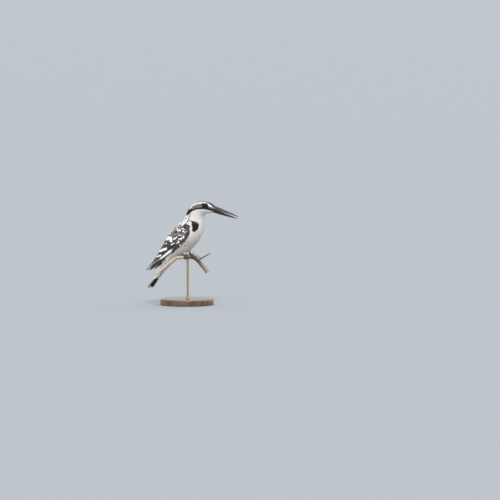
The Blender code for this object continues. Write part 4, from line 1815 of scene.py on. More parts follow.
    def _scapulars(self) -> Batch:
        """The mantle and scapulars: dark feathers with broad white edges.

        Returns:
            The batch.
        """
        rng = self.rng
        station, turn = self._patchwork((-0.06, 0.46), (-1.5, 60.0), 2.5)
        inside = turn < np.interp(station, (0.0, 0.3, 0.36, 0.46), (62.0, 54.0, 34.0, 8.0))
        growth = Growth.drawn(
            rng, station[inside], turn[inside], self.small_root, length=(0.9, 1.1), width=(0.9, 1.1),
            yaw=(0.0, 5.0), tip=(-0.08, 0.12), tilt=(0.04, 0.04),
        )
        long = ease(0.0, 0.42, growth.station)
        growth.length *= 7.0 + 6.5 * long
        growth.width *= 3.8 + 1.6 * long
        growth.tip += 0.35 + 0.4 * ease(20.0, 45.0, growth.turn)
        count = len(growth)
        ground = np.where(rng.uniform(0, 1, count) < 0.35, 0.95, rng.uniform(0.0, 0.08, count))
        edge = rng.uniform(0.8, 1.5, count)
        return self._finish(growth, self.small_vane, self.chart, ground, np.full(count, 0.97), edge, 0.8)


# --- tail


@dataclass
class Tail:
    """Twelve tail feathers, the middle pair on top, each banded black before a white tip."""

    base: Pair = (-40.0, 87.0)  # forward, up
    angle: float = -128.5  # degrees of its direction in the forward-up plane
    length: float = 73.0
    start: float = 8.0
    root_half_width: float = 6.0
    half_width: float = 20.5
    arch: float = 3.2
    count: int = 12
    width: float = 9.6
    layer: float = 0.34  # height between neighbours
    rounded: float = 3.0  # how much shorter the outermost are
    fold: float = 0.16  # how much higher the edge nearer to the middle is
    band: Pair = (0.56, 0.885)  # where the black starts and ends along a feather
    seed: int = 5
    vane: Vane = Vane(
        rows=34, columns=10, root_width=0.5, widest=0.72, tip_width=0.6, roundness=0.05,
        notch=0.0, crown=0.05, groove=0.0, thickness=0.28,
    )

    def build(self, finish: Material) -> None:
        """Lays out the fan.

        Args:
            finish: the feathers' material.
        """
        rng = np.random.default_rng(self.seed)
        angle = math.radians(self.angle)
        along = np.array((math.cos(angle), 0.0, math.sin(angle)))
        above = np.array((along[2], 0.0, -along[0]))
        base = np.array((self.base[0], 0.0, self.base[1]))
        x, y, crown, lift = self.vane.vertices().T
        feathers = []
        for number in range(self.count):
            place = 2 * number / (self.count - 1) - 1  # -1 the bird's left to 1 its right
            outer = abs(place)
            root = place * self.root_half_width
            tip = place * (self.half_width - self.width / 2)
            length = self.length - self.start - self.rounded * outer**2 + rng.uniform(-0.4, 0.4)
            across = root + (tip - root) * y + x * self.width / 2 * (0.75 + 0.25 * y)
            height = self.layer * (0.5 * self.count) * (1 - outer)
            height = height - self.arch * (across / self.half_width) ** 2
            height += crown * 0.2 + lift - math.copysign(self.fold, place) * x
            ways = np.stack((along, (0.0, 1.0, 0.0), above))
            points = base + np.stack((self.start + y * length, across, height), -1) @ ways
            colours = self._colours(y, x * math.copysign(1.0, place), outer, rng)
            grain = np.stack((x * self.width / 2, y * length), -1)
            chart = np.stack((0.03 + 0.94 * y, (number + 0.5 + x * 0.4) / self.count), -1)
            feathers.append((points, colours, grain, chart))
        piece = assemble("tail_feathers", [self.vane.gather(feathers)], finish)
        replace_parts(piece, "tail_middle", "tail_left", "tail_right")

    def _colours(self, y: Array, outward: Array, outer: float, rng: Rng) -> Array:
        """White base, black band and white tip; the outermost pair is white-edged with spots.

        Args:
            y: 0 at the root to 1 at the tip.
            outward: -1 to 1 across, towards the outer edge.
            outer: 0 for the middle feathers to 1 for the outermost.
            rng: draws the band's place.

        Returns:
            Linear colours.
        """
        wobble = rng.uniform(-0.01, 0.01)
        start = self.band[0] + wobble + 0.03 * np.abs(outward)
        end = self.band[1] + 0.05 * outer**2 + wobble
        band = ease(start - 0.012, start + 0.012, y) * (1 - ease(end, end + 0.025, y))
        if outer > 0.85:
            spots = 0.5 + 0.5 * np.cos((y - 0.60) * 2 * math.pi / 0.13)
            web = ease(0.55, 0.75, outward)
            band = band * (1 - web) + web * ease(0.3, 0.5, spots) * ease(0.5, 0.55, y)
        return blend(WHITE, BLACK + (BROWN - BLACK) * 0.1, band)


# --- rump and tail coverts


@dataclass
class TailCoverts:
    """The longer feathers over and under the root of the tail."""

    form: Form
    seed: int = 23
    each: int = 30
    chart: Chart = Chart((-0.6, 2.4), (-190.0, 190.0), patch=0.012)
    vane: Vane = Vane(
        rows=8, columns=6, notch=0.14, roundness=0.3, thickness=0.1, tip_width=0.35, rise=0.5, fray=2,
    )

    def build(self, finish: Material) -> None:
        """Grows them in staggered rings round the tail's root.

        Args:
            finish: their material.
        """
        rng, rings = np.random.default_rng(self.seed), np.arange(1.9, -0.25, -0.22)
        places = np.arange(self.each) + 0.5 * (np.arange(len(rings))[:, None] % 2)
        station = np.repeat(rings, self.each) + rng.normal(0, 0.07, places.size)
        turn = places.ravel() * 360.0 / self.each - 180.0 + rng.normal(0, 2.0, places.size)
        growth = Growth.drawn(
            rng, station, turn, -1.0, length=(12.0, 17.0), width=(3.3, 4.5), yaw=(0.0, 4.0),
            tip=(0.1, 0.35), tilt=(0.0, 0.06),
        )
        laid = lay(self.form.body, self.vane, growth, -1.0)
        away, along = np.abs(turn), laid.along
        barred = (away < 85) & (rng.uniform(0, 1, len(turn)) < 0.55)
        spotted = (away > 60) & (away < 115) & (rng.uniform(0, 1, len(turn)) < 0.35) & ~barred
        bar = ease(0.35, 0.5, along) * (1 - ease(0.78, 0.88, along)) * barred[:, None]
        spot = ease(0.62, 0.68, along) * (1 - ease(0.86, 0.92, along)) * spotted[:, None]
        batch = laid.batch(blend(WHITE, BLACK, 0.95 * bar + 0.9 * spot), self.chart)
        assemble("tail_covert_feathers", [batch], finish)


# --- eyes


@dataclass(frozen=True)
class Gaze:
    """Where an eyeball lies and three directions: out along its axis, ahead and up on the face."""

    centre: Array
    axis: Array
    ahead: Array
    up: Array

    def outward(self, turn: Array) -> Array:
        """The way from the axis at turns round it, in radians."""
        return np.multiply.outer(np.cos(turn), self.ahead) + np.multiply.outer(np.sin(turn), self.up)

    def way(self, angle: Array, turn: Array) -> Array:
        """The way from the centre at angles from the axis and turns round it, in radians."""
        return np.multiply.outer(np.cos(angle), self.axis) + np.sin(angle)[..., None] * self.outward(turn)


@dataclass
class Eye:
    """A dark brown eye with its cornea and lids."""

    centre: Triple = (43.2, 7.4, 204.8)
    axis: Triple = (0.12, 0.93, 0.36)
    level: Triple = (1.0, 0.0, -0.25)  # the way ahead on the face
    radius: float = 4.95
    cornea: float = 0.3  # how far it bulges
    cornea_angle: float = 30.0
    pupil_angle: float = 13.0
    iris_angle: float = 27.0
    brown: Triple = (0.022, 0.008, 0.004)
    black: Triple = (0.004, 0.003, 0.003)
    lid_angle: float = 34.5
    lid_corner: float = 6.0  # how much further the corners reach
    lid_thickness: float = 0.24
    bare_radius: float = 3.0  # no feather of the coat comes nearer to the axis
    ruff_angles: tuple[int, int, int] = (38, 80, 6)  # first ring, end and step, in degrees
    ruff_first: int = 30  # feathers of the first ring
    ruff_more: int = 5  # more in each further ring
    seed: int = 71
    vane: Vane = Vane(
        rows=5, columns=4, notch=0.2, roundness=0.3, groove=0.012, thickness=0.05, crown=0.08, fray=1,
    )

    def gaze(self, side: float) -> Gaze:
        """Where the eye of one side lies and how it looks out.

        Args:
            side: 1 for the bird's right, -1 for its left.

        Returns:
            The gaze.
        """
        mirror = np.array((1.0, side, 1.0))
        axis = unit(np.array(self.axis)) * mirror
        ahead = unit(np.array(self.level) - axis * np.dot(self.level, axis))
        across = np.cross(axis, ahead)
        return Gaze(self.centre * mirror, axis, ahead, across * np.sign(across[2]))

    def build(self, gloss: Material, hide: Material, coat: Material, swatches: Swatches) -> None:
        """Makes both eyes, their lids and the small feathers round these.

        Args:
            gloss: the eyeball's material.
            hide: the lids' material.
            coat: the feathers' material.
            swatches: the coat's colours.
        """
        for name, side in SIDES.items():
            gaze = self.gaze(side)
            self._ball(f"eyeball_{name}", gaze, gloss)
            self._lid(f"eyelid_{name}", gaze, hide)
            self._ruff(f"eyelid_{name}_feathers", gaze, coat, swatches)

    def _ruff(self, name: str, gaze: Gaze, coat: Material, swatches: Swatches) -> None:
        """Rings of tiny dark feathers that spread from the lids over the eye's socket.

        Args:
            name: the piece's name.
            gaze: the eye's place.
            coat: the feathers' material.
            swatches: the coat's colours, which the outer rings take on.
        """
        rng = np.random.default_rng(self.seed)
        x, y, crown, lift = self.vane.vertices().T
        height = self.radius + 0.02 + 0.16 * np.maximum(y, 0) ** 0.5 + 0.03 * crown + lift
        feathers = []
        for row, reach in enumerate(range(*self.ruff_angles)):
            count = self.ruff_first + self.ruff_more * row
            for number in range(count):
                turn = (number + 0.5 * (row % 2) + rng.uniform(-0.25, 0.25)) * 2 * math.pi / count
                corner = self.lid_corner * abs(math.cos(turn)) ** 6
                length, width = rng.uniform(1.3, 1.7), rng.uniform(0.7, 0.9)
                angle = np.radians(reach + corner + rng.uniform(-1, 1)) + y * length / self.radius
                swept = turn + (x * width / 2 + 0.45 * y * math.sin(turn)) / (self.radius * np.sin(angle))
                points = gaze.centre + gaze.way(angle, swept) * height[:, None]
                spot = points[self.vane.columns // 2] + 1.5 * (gaze.outward(swept)[0] - gaze.axis)
                tone = swatches.at(metres(spot[None]))[0] if row > 3 else BLACK
                # each tiny feather is painted darker towards its root as painted shade, times a random tone
                # of its own
                colours = np.outer(rng.uniform(0.9, 1.2) * (0.9 + 0.1 * y), tone)
                grain = np.stack((x * width / 2, y * length), -1)
                place = np.array((0.05 + 0.9 * number / count, 0.1 + 0.13 * row))
                chart = place + np.stack((x, y), -1) * PATCH / 2
                feathers.append((points, colours, grain, chart))
        assemble(name, [self.vane.gather(feathers)], coat)

    def _ball(self, name: str, gaze: Gaze, gloss: Material) -> None:
        """One eyeball: pole at the pupil, rings finer in front.

        Args:
            name: the piece's name.
            gaze: the eye's place.
            gloss: the eyeball's material.
        """
        angles = np.concatenate((np.linspace(1.5, 40.0, 24), np.linspace(50.0, 178.5, 12)))[:, None]
        turns = circle(40)
        reach = self.radius + self.cornea * (1 - ease(8.0, self.cornea_angle, angles))
        mesh = ring_mesh(name, gaze.centre + gaze.way(np.radians(angles), turns) * reach[..., None], True)
        iris = ease(self.pupil_angle - 1, self.pupil_angle + 1, angles)
        iris = iris * (1 - ease(self.iris_angle - 4, self.iris_angle, angles))
        fleck = 0.8 + 0.2 * np.sin(turns * 23.0)
        colours = ((iris * fleck)[..., None] * self.brown + self.black).reshape(-1, 3)
        paint(mesh, np.vstack((colours, colours[[0, -1]])))
        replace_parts(add_piece(name, mesh, gloss), name.replace("eyeball", "eye"))

    def _lid(self, name: str, gaze: Gaze, hide: Material) -> None:
        """The swollen rim of the lids round the eye, with a corner before and behind.

        Args:
            name: the piece's name.
            gaze: the eye's place.
            hide: the lids' material.
        """
        turns, around = circle(72), circle(12)[:, None]
        corner = np.abs(np.cos(turns)) ** 6
        reach = np.radians(self.lid_angle - 1.5 * np.abs(np.sin(turns)) + self.lid_corner * corner)
        way, across = gaze.way(reach, turns)[:, None], gaze.way(reach + math.pi / 2, turns)[:, None]
        thick = self.lid_thickness * (1 - 0.3 * corner) * (1.0 + 0.04 * np.sin(turns * 18))
        section = across * np.cos(around) + 0.8 * way * np.sin(around)
        rings = gaze.centre + way * (self.radius + 0.1) + thick[:, None, None] * section
        add_piece(name, ring_mesh(name, rings, False, True), hide)


# --- rings and tubes


def as_mesh(bm: bmesh.types.BMesh, name: str) -> Mesh:
    """Turns an edited mesh into a smooth one and frees it.

    Args:
        bm: what was edited.
        name: the mesh's name.

    Returns:
        The mesh.
    """
    mesh = bpy.data.meshes.new(name)
    bm.to_mesh(mesh)
    bm.free()
    mesh.shade_smooth()
    return mesh


def join_meshes(name: str, meshes: list[Mesh]) -> Mesh:
    """Joins meshes into one and removes them.

    Args:
        name: the joined mesh's name.
        meshes: what is joined.

    Returns:
        The joined mesh.
    """
    bm = bmesh.new()
    for mesh in meshes:
        bm.from_mesh(mesh)
        bpy.data.meshes.remove(mesh)
    return as_mesh(bm, name)


def ring_mesh(name: str, rings: Array, capped: bool, looped: bool = False) -> Mesh:
    """A mesh through rings of points.

    Args:
        name: the mesh's name.
        rings: (ring, point, 3) in millimetres along the bird.
        capped: whether both ends close on a point in their middle.
        looped: whether the last ring joins the first.

    Returns:
        The mesh, with its faces outwards.
    """
    count, size = rings.shape[:2]
    points = metres(rings.reshape(-1, 3))
    grid = np.arange(count * size).reshape(count, size)
    grid = np.vstack((grid, grid[:1])) if looped else grid
    beside = np.roll(grid, -1, 1)
    faces = np.stack((grid[:-1], beside[:-1], beside[1:], grid[1:]), -1).reshape(-1, 4).tolist()
    if capped:
        for a, b, c, d in zip(grid[0], beside[0], grid[-1], beside[-1]):
            faces += [(b, a, len(points)), (c, d, len(points) + 1)]
        points = np.vstack((points, points[:size].mean(0), points[-size:].mean(0)))
    bm = bmesh.new()
    made = [bm.verts.new(point) for point in points]
    for face in faces:
        bm.faces.new([made[corner] for corner in face])
    bmesh.ops.recalc_face_normals(bm, faces=bm.faces)
    if bm.calc_volume(signed=True) < 0:
        bmesh.ops.reverse_faces(bm, faces=bm.faces)
    return as_mesh(bm, name)


def tube(name: str, centres: Array, a: Array, b: Array, radii: Array, sides: int) -> Mesh:
    """A tube with closed ends.

    Args:
        name: the mesh's name.
        centres: the middle of each ring.
        a: the way to each ring's first point.
        b: the way to the point a quarter further round.
        radii: of each ring, or of each point of it.
        sides: points of a ring.

    Returns:
        The mesh.
    """
    turns = circle(sides)[:, None]
    a, b = (np.broadcast_to(way, centres.shape)[:, None] for way in (a, b))
    radii = np.reshape(radii, (len(centres), -1, 1))
    return ring_mesh(name, centres[:, None] + radii * (a * np.cos(turns) + b * np.sin(turns)), True)


# --- thighs


@dataclass
class ThighFeathers:
    """Loose feathers that hang from the belly round the top of each leg."""

    feet: "Feet"
    rows: int = 5
    each: int = 15
    length: float = 7.5
    width: float = 2.6
    radius: float = 3.1
    seed: int = 61
    vane: Vane = Vane(
        rows=7, columns=6, notch=0.16, roundness=0.25, groove=0.02, thickness=0.09, fray=2,
    )

    def build(self, finish: Material) -> None:
        """Hangs them in rings round both legs.

        Args:
            finish: their material.
        """
        rng = np.random.default_rng(self.seed)
        x, y, crown, lift = self.vane.vertices().T
        height = crown * 0.25 + lift - 0.5 * y * y
        feathers = []
        for number, name in enumerate(SIDES):
            _, heel, front, across, way = self.feet.leg(name)
            for row in range(self.rows):
                for k in range(self.each):
                    turn = (k + 0.5 * (row % 2) + rng.uniform(-0.3, 0.3)) * 2 * math.pi / self.each
                    out = front * math.cos(turn) + across * math.sin(turn)
                    over = np.cross(out, way)
                    start = heel + way * (3.2 - 1.7 * row) + out * (self.radius + 1.2 - 0.45 * row)
                    length = self.length * rng.uniform(0.8, 1.15) * (0.8 if row else 1.0)
                    lean = unit(-way - out * (0.16 + rng.uniform(0, 0.1)) + over * rng.uniform(-0.15, 0.15))
                    grain = np.stack((x * self.width / 2, y * length), -1)
                    points = start + grain @ (over, lean) + np.outer(height, out)
                    # each feather is painted darker towards its root as painted shade under the belly,
                    # times a random tone; its olive is painted shade with warm reflected light
                    tone = rng.uniform(0.85, 1.0) * (0.8 + 0.2 * y)
                    colours = np.outer(tone, PAINTED_SHADE_OLIVE * 0.72 + WHITE * 0.35)
                    round_leg = 0.8 * (turn % (2 * math.pi)) / 6.3
                    place = np.array((0.1 + round_leg, 0.1 + 0.5 * number + 0.08 * row))
                    feathers.append((points, colours, grain, place + np.stack((x, y), -1) * PATCH / 2))
        assemble("thigh_feathers", [self.vane.gather(feathers)], finish)


# --- bill


@dataclass
class Bill:
    """The two halves of a dagger bill with ridge, cutting edges and nostrils."""

    base: Pair = (59.8, 196.9)
    angle: float = -16.0
    parting: float = 3.4
    upper_length: float = 55.9
    lower_length: float = 53.3
    half_width: float = 6.3
    upper_depth: float = 6.5
    lower_depth: float = 6.7
    tip: float = 0.42  # its half width and its depth
    inside: float = 2.5  # how far it reaches into the face
    apart: float = 0.35  # of each half from the line between them
    blunt: float = 0.03  # the share of the length over which the tip is rounded

    def build(self, horn: Material) -> None:
        """Makes both halves.

        Args:
            horn: their material.
        """
        self._half("bill_upper_horn", 1, self.upper_length, self.angle, self.upper_depth, horn)
        lower = self.angle - self.parting
        self._half("bill_lower_horn", -1, self.lower_length, lower, self.lower_depth, horn)

    def _half(
        self, name: str, side: int, length: float, angle: float, depth: float, horn: Material
    ) -> None:
        """One half, from inside the face to its tip.

        Args:
            name: the piece's name.
            side: 1 for the upper half, -1 for the lower.
            length: from the face to the tip.
            angle: degrees of its direction in the forward-up plane.
            depth: height at the face.
            horn: the material.
        """
        along = np.array((math.cos(math.radians(angle)), math.sin(math.radians(angle))))
        out = np.array((-along[1], along[0])) * side
        start = np.array(self.base) - along * self.inside + out * self.apart
        spans = (np.linspace(0, 0.2, 36), np.linspace(0.22, 0.9, 34), np.linspace(0.915, 1.0, 12))
        share = np.concatenate(spans)[:, None]
        taper = (1 - share) ** 0.86
        end = np.maximum(share - 1 + self.blunt, 0) / self.blunt
        blunt = np.sqrt(np.maximum(0.05, 1 - end**2))
        sunk = (1 - 0.07 * np.exp(-((share / 0.05) ** 2))) * blunt
        half = (self.tip + (self.half_width - self.tip) * taper**1.15) * sunk
        high = (self.tip + (depth - self.tip) * taper + 0.5 * np.sin(math.pi * share)) * sunk
        height, width = self._section(half, high, share, side)
        spots = (start + along * (length + self.inside) * share)[:, None] + out * height[..., None]
        rings = np.stack((spots[..., 0], width, spots[..., 1]), -1)
        piece = add_piece(name, ring_mesh(name, rings, True), horn)
        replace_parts(piece, name.replace("_horn", ""))

    @staticmethod
    def _section(half: Array, high: Array, share: Array, side: int) -> tuple[Array, Array]:
        """The sections: a ridge on top, full sides, a groove for the nostril and a cutting edge.

        Args:
            half: half the width of each section.
            high: its height.
            share: its place from the face, 0, to the tip, 1.
            side: 1 for the upper half, which has the nostrils.

        Returns:
            Height and width of each section's points.
        """
        rise, reach = np.cos(circle(80)), np.sin(circle(80))
        climb = np.maximum(rise, 0.0)
        groove = np.exp(-(((climb - 0.42) / 0.16) ** 2)) * np.exp(-(((share - 0.16) / 0.11) ** 2))
        slit = (climb - 0.46 + 1.2 * (share - 0.125)) / 0.055
        nostril = np.exp(-(slit**4)) * np.exp(-(((share - 0.125) / 0.024) ** 4))
        pinch = (0.07 * groove + 0.26 * nostril) * max(side, 0)
        width = half * np.copysign(np.abs(reach) ** 0.92, reach) * (1 - pinch)
        height = high * climb ** np.where(share < 0.3, 1.12, 1.2)
        under = rise <= -0.15
        height = np.where(under, 0.075 * high * (1 + rise), height)
        return height, np.where(under, 0.86 * half * reach, width)


# --- perch


@dataclass
class Perch:
    """The cut thorny branch, pale at one end and dark at the other."""

    route: Table = (
        (-49.0, 55.0, 65.0), (-41.5, 48.0, 73.0), (-33.5, 41.0, 79.6), (-25.6, 34.0, 88.0),
        (-17.4, 26.0, 96.2), (-9.6, 17.0, 98.2), (-2.4, 8.0, 98.2), (5.0, -8.0, 98.4),
        (10.3, -14.2, 96.6), (15.8, -17.4, 91.6), (22.4, -19.4, 84.2), (30.1, -21.0, 74.8),
        (37.0, -22.0, 66.0),
    )
    radii: Pair = (2.7, 4.1)
    # place along the route, reach along it, height
    knots: Table = ((3.4, 0.35, 0.5), (4.7, 0.3, 0.4), (8.3, 0.5, 1.0), (10.2, 0.35, 0.5))
    sharp_below: float = 0.5  # a thorn with a thinner tip than this ends in a point
    # root, tip, radius at each
    thorns: tuple[tuple[Triple, Triple, float, float], ...] = (
        ((19.0, -16.8, 90.5), (43.0, -20.5, 105.0), 1.6, 1.0),
        ((24.7, -17.7, 93.9), (4.5, -15.5, 109.0), 0.9, 0.3),
        ((4.0, -6.5, 96.5), (-6.5, -8.5, 84.5), 1.3, 0.3),
        ((-9.0, 16.5, 96.5), (-9.4, 17.5, 88.0), 1.2, 0.3),
        ((-24.5, 33.0, 88.0), (-22.5, 34.5, 80.0), 1.3, 0.3),
        ((-41.0, 47.5, 73.5), (-47.0, 40.5, 75.5), 1.2, 0.3),
        ((30.0, -20.0, 75.0), (36.5, -29.0, 79.0), 1.3, 0.3),
        ((12.0, -13.5, 95.0), (9.5, -23.0, 98.0), 1.2, 0.3),
    )
    # waves round the branch, pitch along it, height
    furrows: Table = (
        (2, 0.05, 0.2), (3, 0.09, 0.14), (5, 0.12, 0.1), (8, 0.1, 0.08), (11, 0.14, 0.06), (4, 0.4, 0.05),
        (7, 0.5, 0.04), (13, 0.3, 0.04),
    )
    pale: Triple = (0.50, 0.42, 0.31)
    dark: Triple = (0.125, 0.07, 0.058)
    darkening: Pair = (6.2, 8.0)  # along the route
    fading: Pair = (9.5, 11.0)
    cuts: Table = ((0.62, 0.5, 0.33), (0.55, 0.42, 0.27))
    sides: int = 44
    sections: int = 330
    seed: int = 3

    def at(self, position: Array) -> Array:
        """The branch's centre at positions counted along its route."""
        return spline(np.array(self.route), np.atleast_1d(position))

    def radius(self, position: Array) -> Array:
        """Its radius there.

        Args:
            position: counted along the route.

        Returns:
            Millimetres.
        """
        share = position / (len(self.route) - 1)
        swell = sum(size * np.exp(-(((position - at) / reach) ** 2)) for at, reach, size in self.knots)
        return self.radii[0] + (self.radii[1] - self.radii[0]) * share**1.6 + swell

    def axes(self, position: float) -> tuple[Array, Array]:
        """Two unit vectors across the branch: ahead of it and out of its top.

        Args:
            position: counted along the route.

        Returns:
            The two vectors.
        """
        last = len(self.route) - 1
        step = 0.05
        ends = self.at(np.array((max(position - step, 0), min(position + step, last))))
        along = unit(ends[1] - ends[0])
        ahead = np.cross(along, (0.0, 0.0, 1.0))
        ahead = unit(ahead) * math.copysign(1.0, ahead[0])
        top = np.cross(ahead, along)
        return ahead, top * math.copysign(1.0, top[2])

    def build(self, bark: Material) -> None:
        """Makes the branch with its thorns and twig as one piece.

        Args:
            bark: its material.
        """
        rng = np.random.default_rng(self.seed)
        meshes = [self._branch(rng)]
        for root, tip, thick, thin in self.thorns:
            meshes.append(self._thorn(np.array(root), np.array(tip), thick, thin, rng))
        piece = add_piece("perch_bark", join_meshes("perch_bark", meshes), bark)
        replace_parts(piece, "perch_branch")

    def _tone(self, position: Array) -> Array:
        """The bark's colour along the branch."""
        bend = ease(*self.darkening, position) * (1 - 0.45 * ease(*self.fading, position))
        return blend(np.array(self.pale), np.array(self.dark), bend)

    def _branch(self, rng: Rng) -> Mesh:
        """The branch itself, with furrowed bark and cut ends.

        Args:
            rng: draws the furrows.

        Returns:
            The mesh.
        """
        positions = np.linspace(0, len(self.route) - 1, self.sections)
        centres = self.at(positions)
        along = unit(np.gradient(centres, axis=0))
        side = unit(np.cross(along, (0.3, 0.2, 1.0)))
        steps = np.linalg.norm(np.diff(centres, axis=0, prepend=centres[:1]), axis=1)
        travel, turns = np.cumsum(steps)[:, None], circle(self.sides)
        bumps = np.zeros((self.sections, self.sides))
        for waves, pitch, height in self.furrows:
            for _ in range(2):
                phase, drift = rng.uniform(0, 6.28, 3), rng.uniform(-1, 1)
                wave = np.sin(waves * turns + drift * travel * 0.2 + phase[0])
                bumps += height * wave * np.sin(travel * pitch * 2 + phase[1])
        radii = (self.radius(positions) - 0.1)[:, None] + bumps
        mesh = tube("branch", centres, side, np.cross(side, along), radii, self.sides)
        # the bark is painted darker in its furrows and lighter on its ridges: painted shade in the recesses
        # and painted light on the tops
        tone = self._tone(positions)[:, None] * (1 + 0.55 * bumps[..., None])
        paint(mesh, np.clip(np.vstack((tone.reshape(-1, 3), self.cuts)), 0.01, 0.9))
        return mesh

    def _thorn(self, root: Array, tip: Array, thick: float, thin: float, rng: Rng) -> Mesh:
        """A thorn or twig: a tapered horn with a slight curve, flared at its root.

        Args:
            root: where it starts.
            tip: where it ends.
            thick: radius at its root.
            thin: radius at its tip.
            rng: draws its tone.

        Returns:
            The mesh.
        """
        length, share = float(np.linalg.norm(tip - root)), np.linspace(0, 1, 18)
        way = unit(tip - root)
        side = unit(np.cross(way, (0.2, 1.0, 0.3)))
        over = np.cross(side, way)
        sharp = thin < self.sharp_below
        radii = thick + (thin - thick) * share ** (0.8 if sharp else 1.0)
        radii = (radii + 0.35 * np.exp(-share * length / 2.5)) * (1 + 0.05 * np.sin(share * 23 + length))
        if sharp:
            radii = np.maximum(radii * (1 - share**6), 0.06)
        bow = np.outer(0.02 * length * np.sin(math.pi * share), over)
        mesh = tube("thorn", root + np.outer(share, tip - root) + bow, side, over, radii, 14)
        position = float(np.argmin(np.linalg.norm(np.array(self.route) - root, axis=1)))
        tone = self._tone(np.full(len(mesh.vertices), position))
        paint(mesh, np.clip(tone * rng.uniform(0.85, 1.1), 0.01, 0.9))
        return mesh


# --- feet


@dataclass
class Feet:
    """Short scaled legs, gripping toes and sharp claws."""

    perch: Perch
    stations: dict[str, float] = field(default_factory=lambda: {"right": 6.0, "left": 7.0})
    tarsus_length: dict[str, float] = field(default_factory=lambda: {"right": 6.0, "left": 9.5})
    setback: dict[str, float] = field(default_factory=lambda: {"right": 0.0, "left": 3.0})
    toe_radius: float = 1.55
    claw_radius: float = 1.1
    tarsus_radius: float = 1.9
    gap: float = 0.35  # about half the gaps between toes and under the ankle
    lift: float = 0.25  # of the toes over the bark
    ankle_turn: float = 98.0  # degrees round the branch, from its front
    parting: float = 24.0  # of the toes' roots from the ankle

    def build(self, hide: Material, horn: Material) -> None:
        """Makes each foot's skin and its claws.

        Args:
            hide: the skin's material.
            horn: the claws' material.
        """
        spacing = 2 * self.toe_radius + 1.8 * self.gap
        front, back = self.ankle_turn - self.parting, self.ankle_turn + self.parting
        for name, side in SIDES.items():
            at = self.stations[name]
            toes = {
                "inner": (side * spacing, side * 1.2, front, -34.0),
                "middle": (0.0, 0.0, front, -52.0),
                "outer": (-side * spacing, -side * 0.8, front, -40.0),
                "hind": (0.0, 0.0, back, 206.0),
            }
            skins = [self._tarsus(name)] + [self._toe(at, *toe) for toe in toes.values()]
            joined = join_meshes(f"foot_{name}_skin", skins)
            skin = add_piece(joined.name, joined, hide)
            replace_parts(skin, f"tarsus_{name}", *(f"toe_{toe}_{name}" for toe in toes))
            claws = [self._claw(at, *toe) for toe in toes.values()]
            joined = join_meshes(f"foot_{name}_claws", claws)
            horns = add_piece(joined.name, joined, horn)
            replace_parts(horns, *(f"claw_{toe}_{name}" for toe in toes))

    def _arc(self, at: float, offsets: Array, turns: Array) -> tuple[Array, Array]:
        """Points round the branch near a foot, and the way out of it at each.

        Args:
            at: where the foot stands along the branch.
            offsets: millimetres beside that.
            turns: degrees round the branch.

        Returns:
            The points and the ways.
        """
        pace = float(np.linalg.norm(np.diff(self.perch.at(np.array((at - 0.5, at + 0.5))), axis=0)))
        ahead, top = self.perch.axes(at)
        angle = np.radians(turns)[:, None]
        out = ahead * np.cos(angle) + top * np.sin(angle)
        positions = at + offsets / pace
        radius = self.perch.radius(positions)[:, None]
        return self.perch.at(positions) + out * (radius + self.toe_radius + self.lift), out

    @staticmethod
    def _digit(centres: Array, outs: Array, radii: Array, deep: float, wide: float, sides: int) -> Mesh:
        """A toe or a claw.

        Args:
            centres: points along it.
            outs: the way out of the branch at each.
            radii: at each.
            deep: its depth as a share of the radii.
            wide: its width as a share of the radii.
            sides: points of each section.

        Returns:
            The mesh.
        """
        along = unit(np.gradient(centres, axis=0))
        across = unit(np.cross(along, outs))
        return tube("digit", centres, np.cross(across, along) * deep, across * wide, radii, sides)

    def _toe(self, at: float, offset: float, splay: float, start: float, end: float) -> Mesh:
        """One toe with its joints and scutes.

        Args:
            at: where the foot stands along the branch.
            offset: how far beside that the toe starts.
            splay: how much further beside it ends.
            start: degrees round the branch at its root.
            end: degrees at its end.

        Returns:
            The mesh.
        """
        share = np.linspace(0, 1, 44)
        lead = 6.0 * math.copysign(1.0, start - end)
        centres, outs = self._arc(at, offset + splay * share, start + lead + (end - start - lead) * share)
        joints = 0.10 * np.cos(share * 3 * 2 * math.pi) + 0.045 * np.abs(np.sin(share * 15 * math.pi))
        radii = self.toe_radius * (1 - 0.2 * share) * (1 + joints)
        radii[[0, -1]] *= 0.6
        return self._digit(centres, outs, radii, 0.95, 1.0, 16)

    def _claw(self, at: float, offset: float, splay: float, start: float, end: float) -> Mesh:
        """One claw: a curved horn, deeper than it is wide.

        Args:
            at: where the foot stands along the branch.
            offset: how far beside that its toe starts.
            splay: how much further beside it ends.
            start: degrees round the branch at the toe's root.
            end: degrees where the claw begins.

        Returns:
            The mesh.
        """
        share = np.linspace(0, 1, 16)
        turns = end + math.copysign(1.0, end - start) * (-3.0 + 46.0 * share)
        centres, outs = self._arc(at, np.full(len(share), offset + splay), turns)
        centres = centres - outs * (0.6 * share[:, None] ** 2)
        radii = self.claw_radius * (1 - share) ** 0.75 + 0.08
        return self._digit(centres, outs, radii, 1.0, 0.72, 12)

    def leg(self, name: str) -> tuple[Array, Array, Array, Array, Array]:
        """Where a leg stands.

        Args:
            name: the side.

        Returns:
            Its ankle, its heel, and three directions: its front, across it and up along it.
        """
        at = self.stations[name]
        ahead, top = self.perch.axes(at)
        angle = math.radians(self.ankle_turn)
        up = ahead * math.cos(angle) + top * math.sin(angle)
        ankle = self.perch.at(at)[0] + up * (float(self.perch.radius(np.array(at))) + 2 * self.gap)
        heel = ankle + up * self.tarsus_length[name] - ahead * self.setback[name]
        way = unit(heel - ankle)
        across = unit(np.cross(way, ahead))
        return ankle, heel, np.cross(across, way), across, way

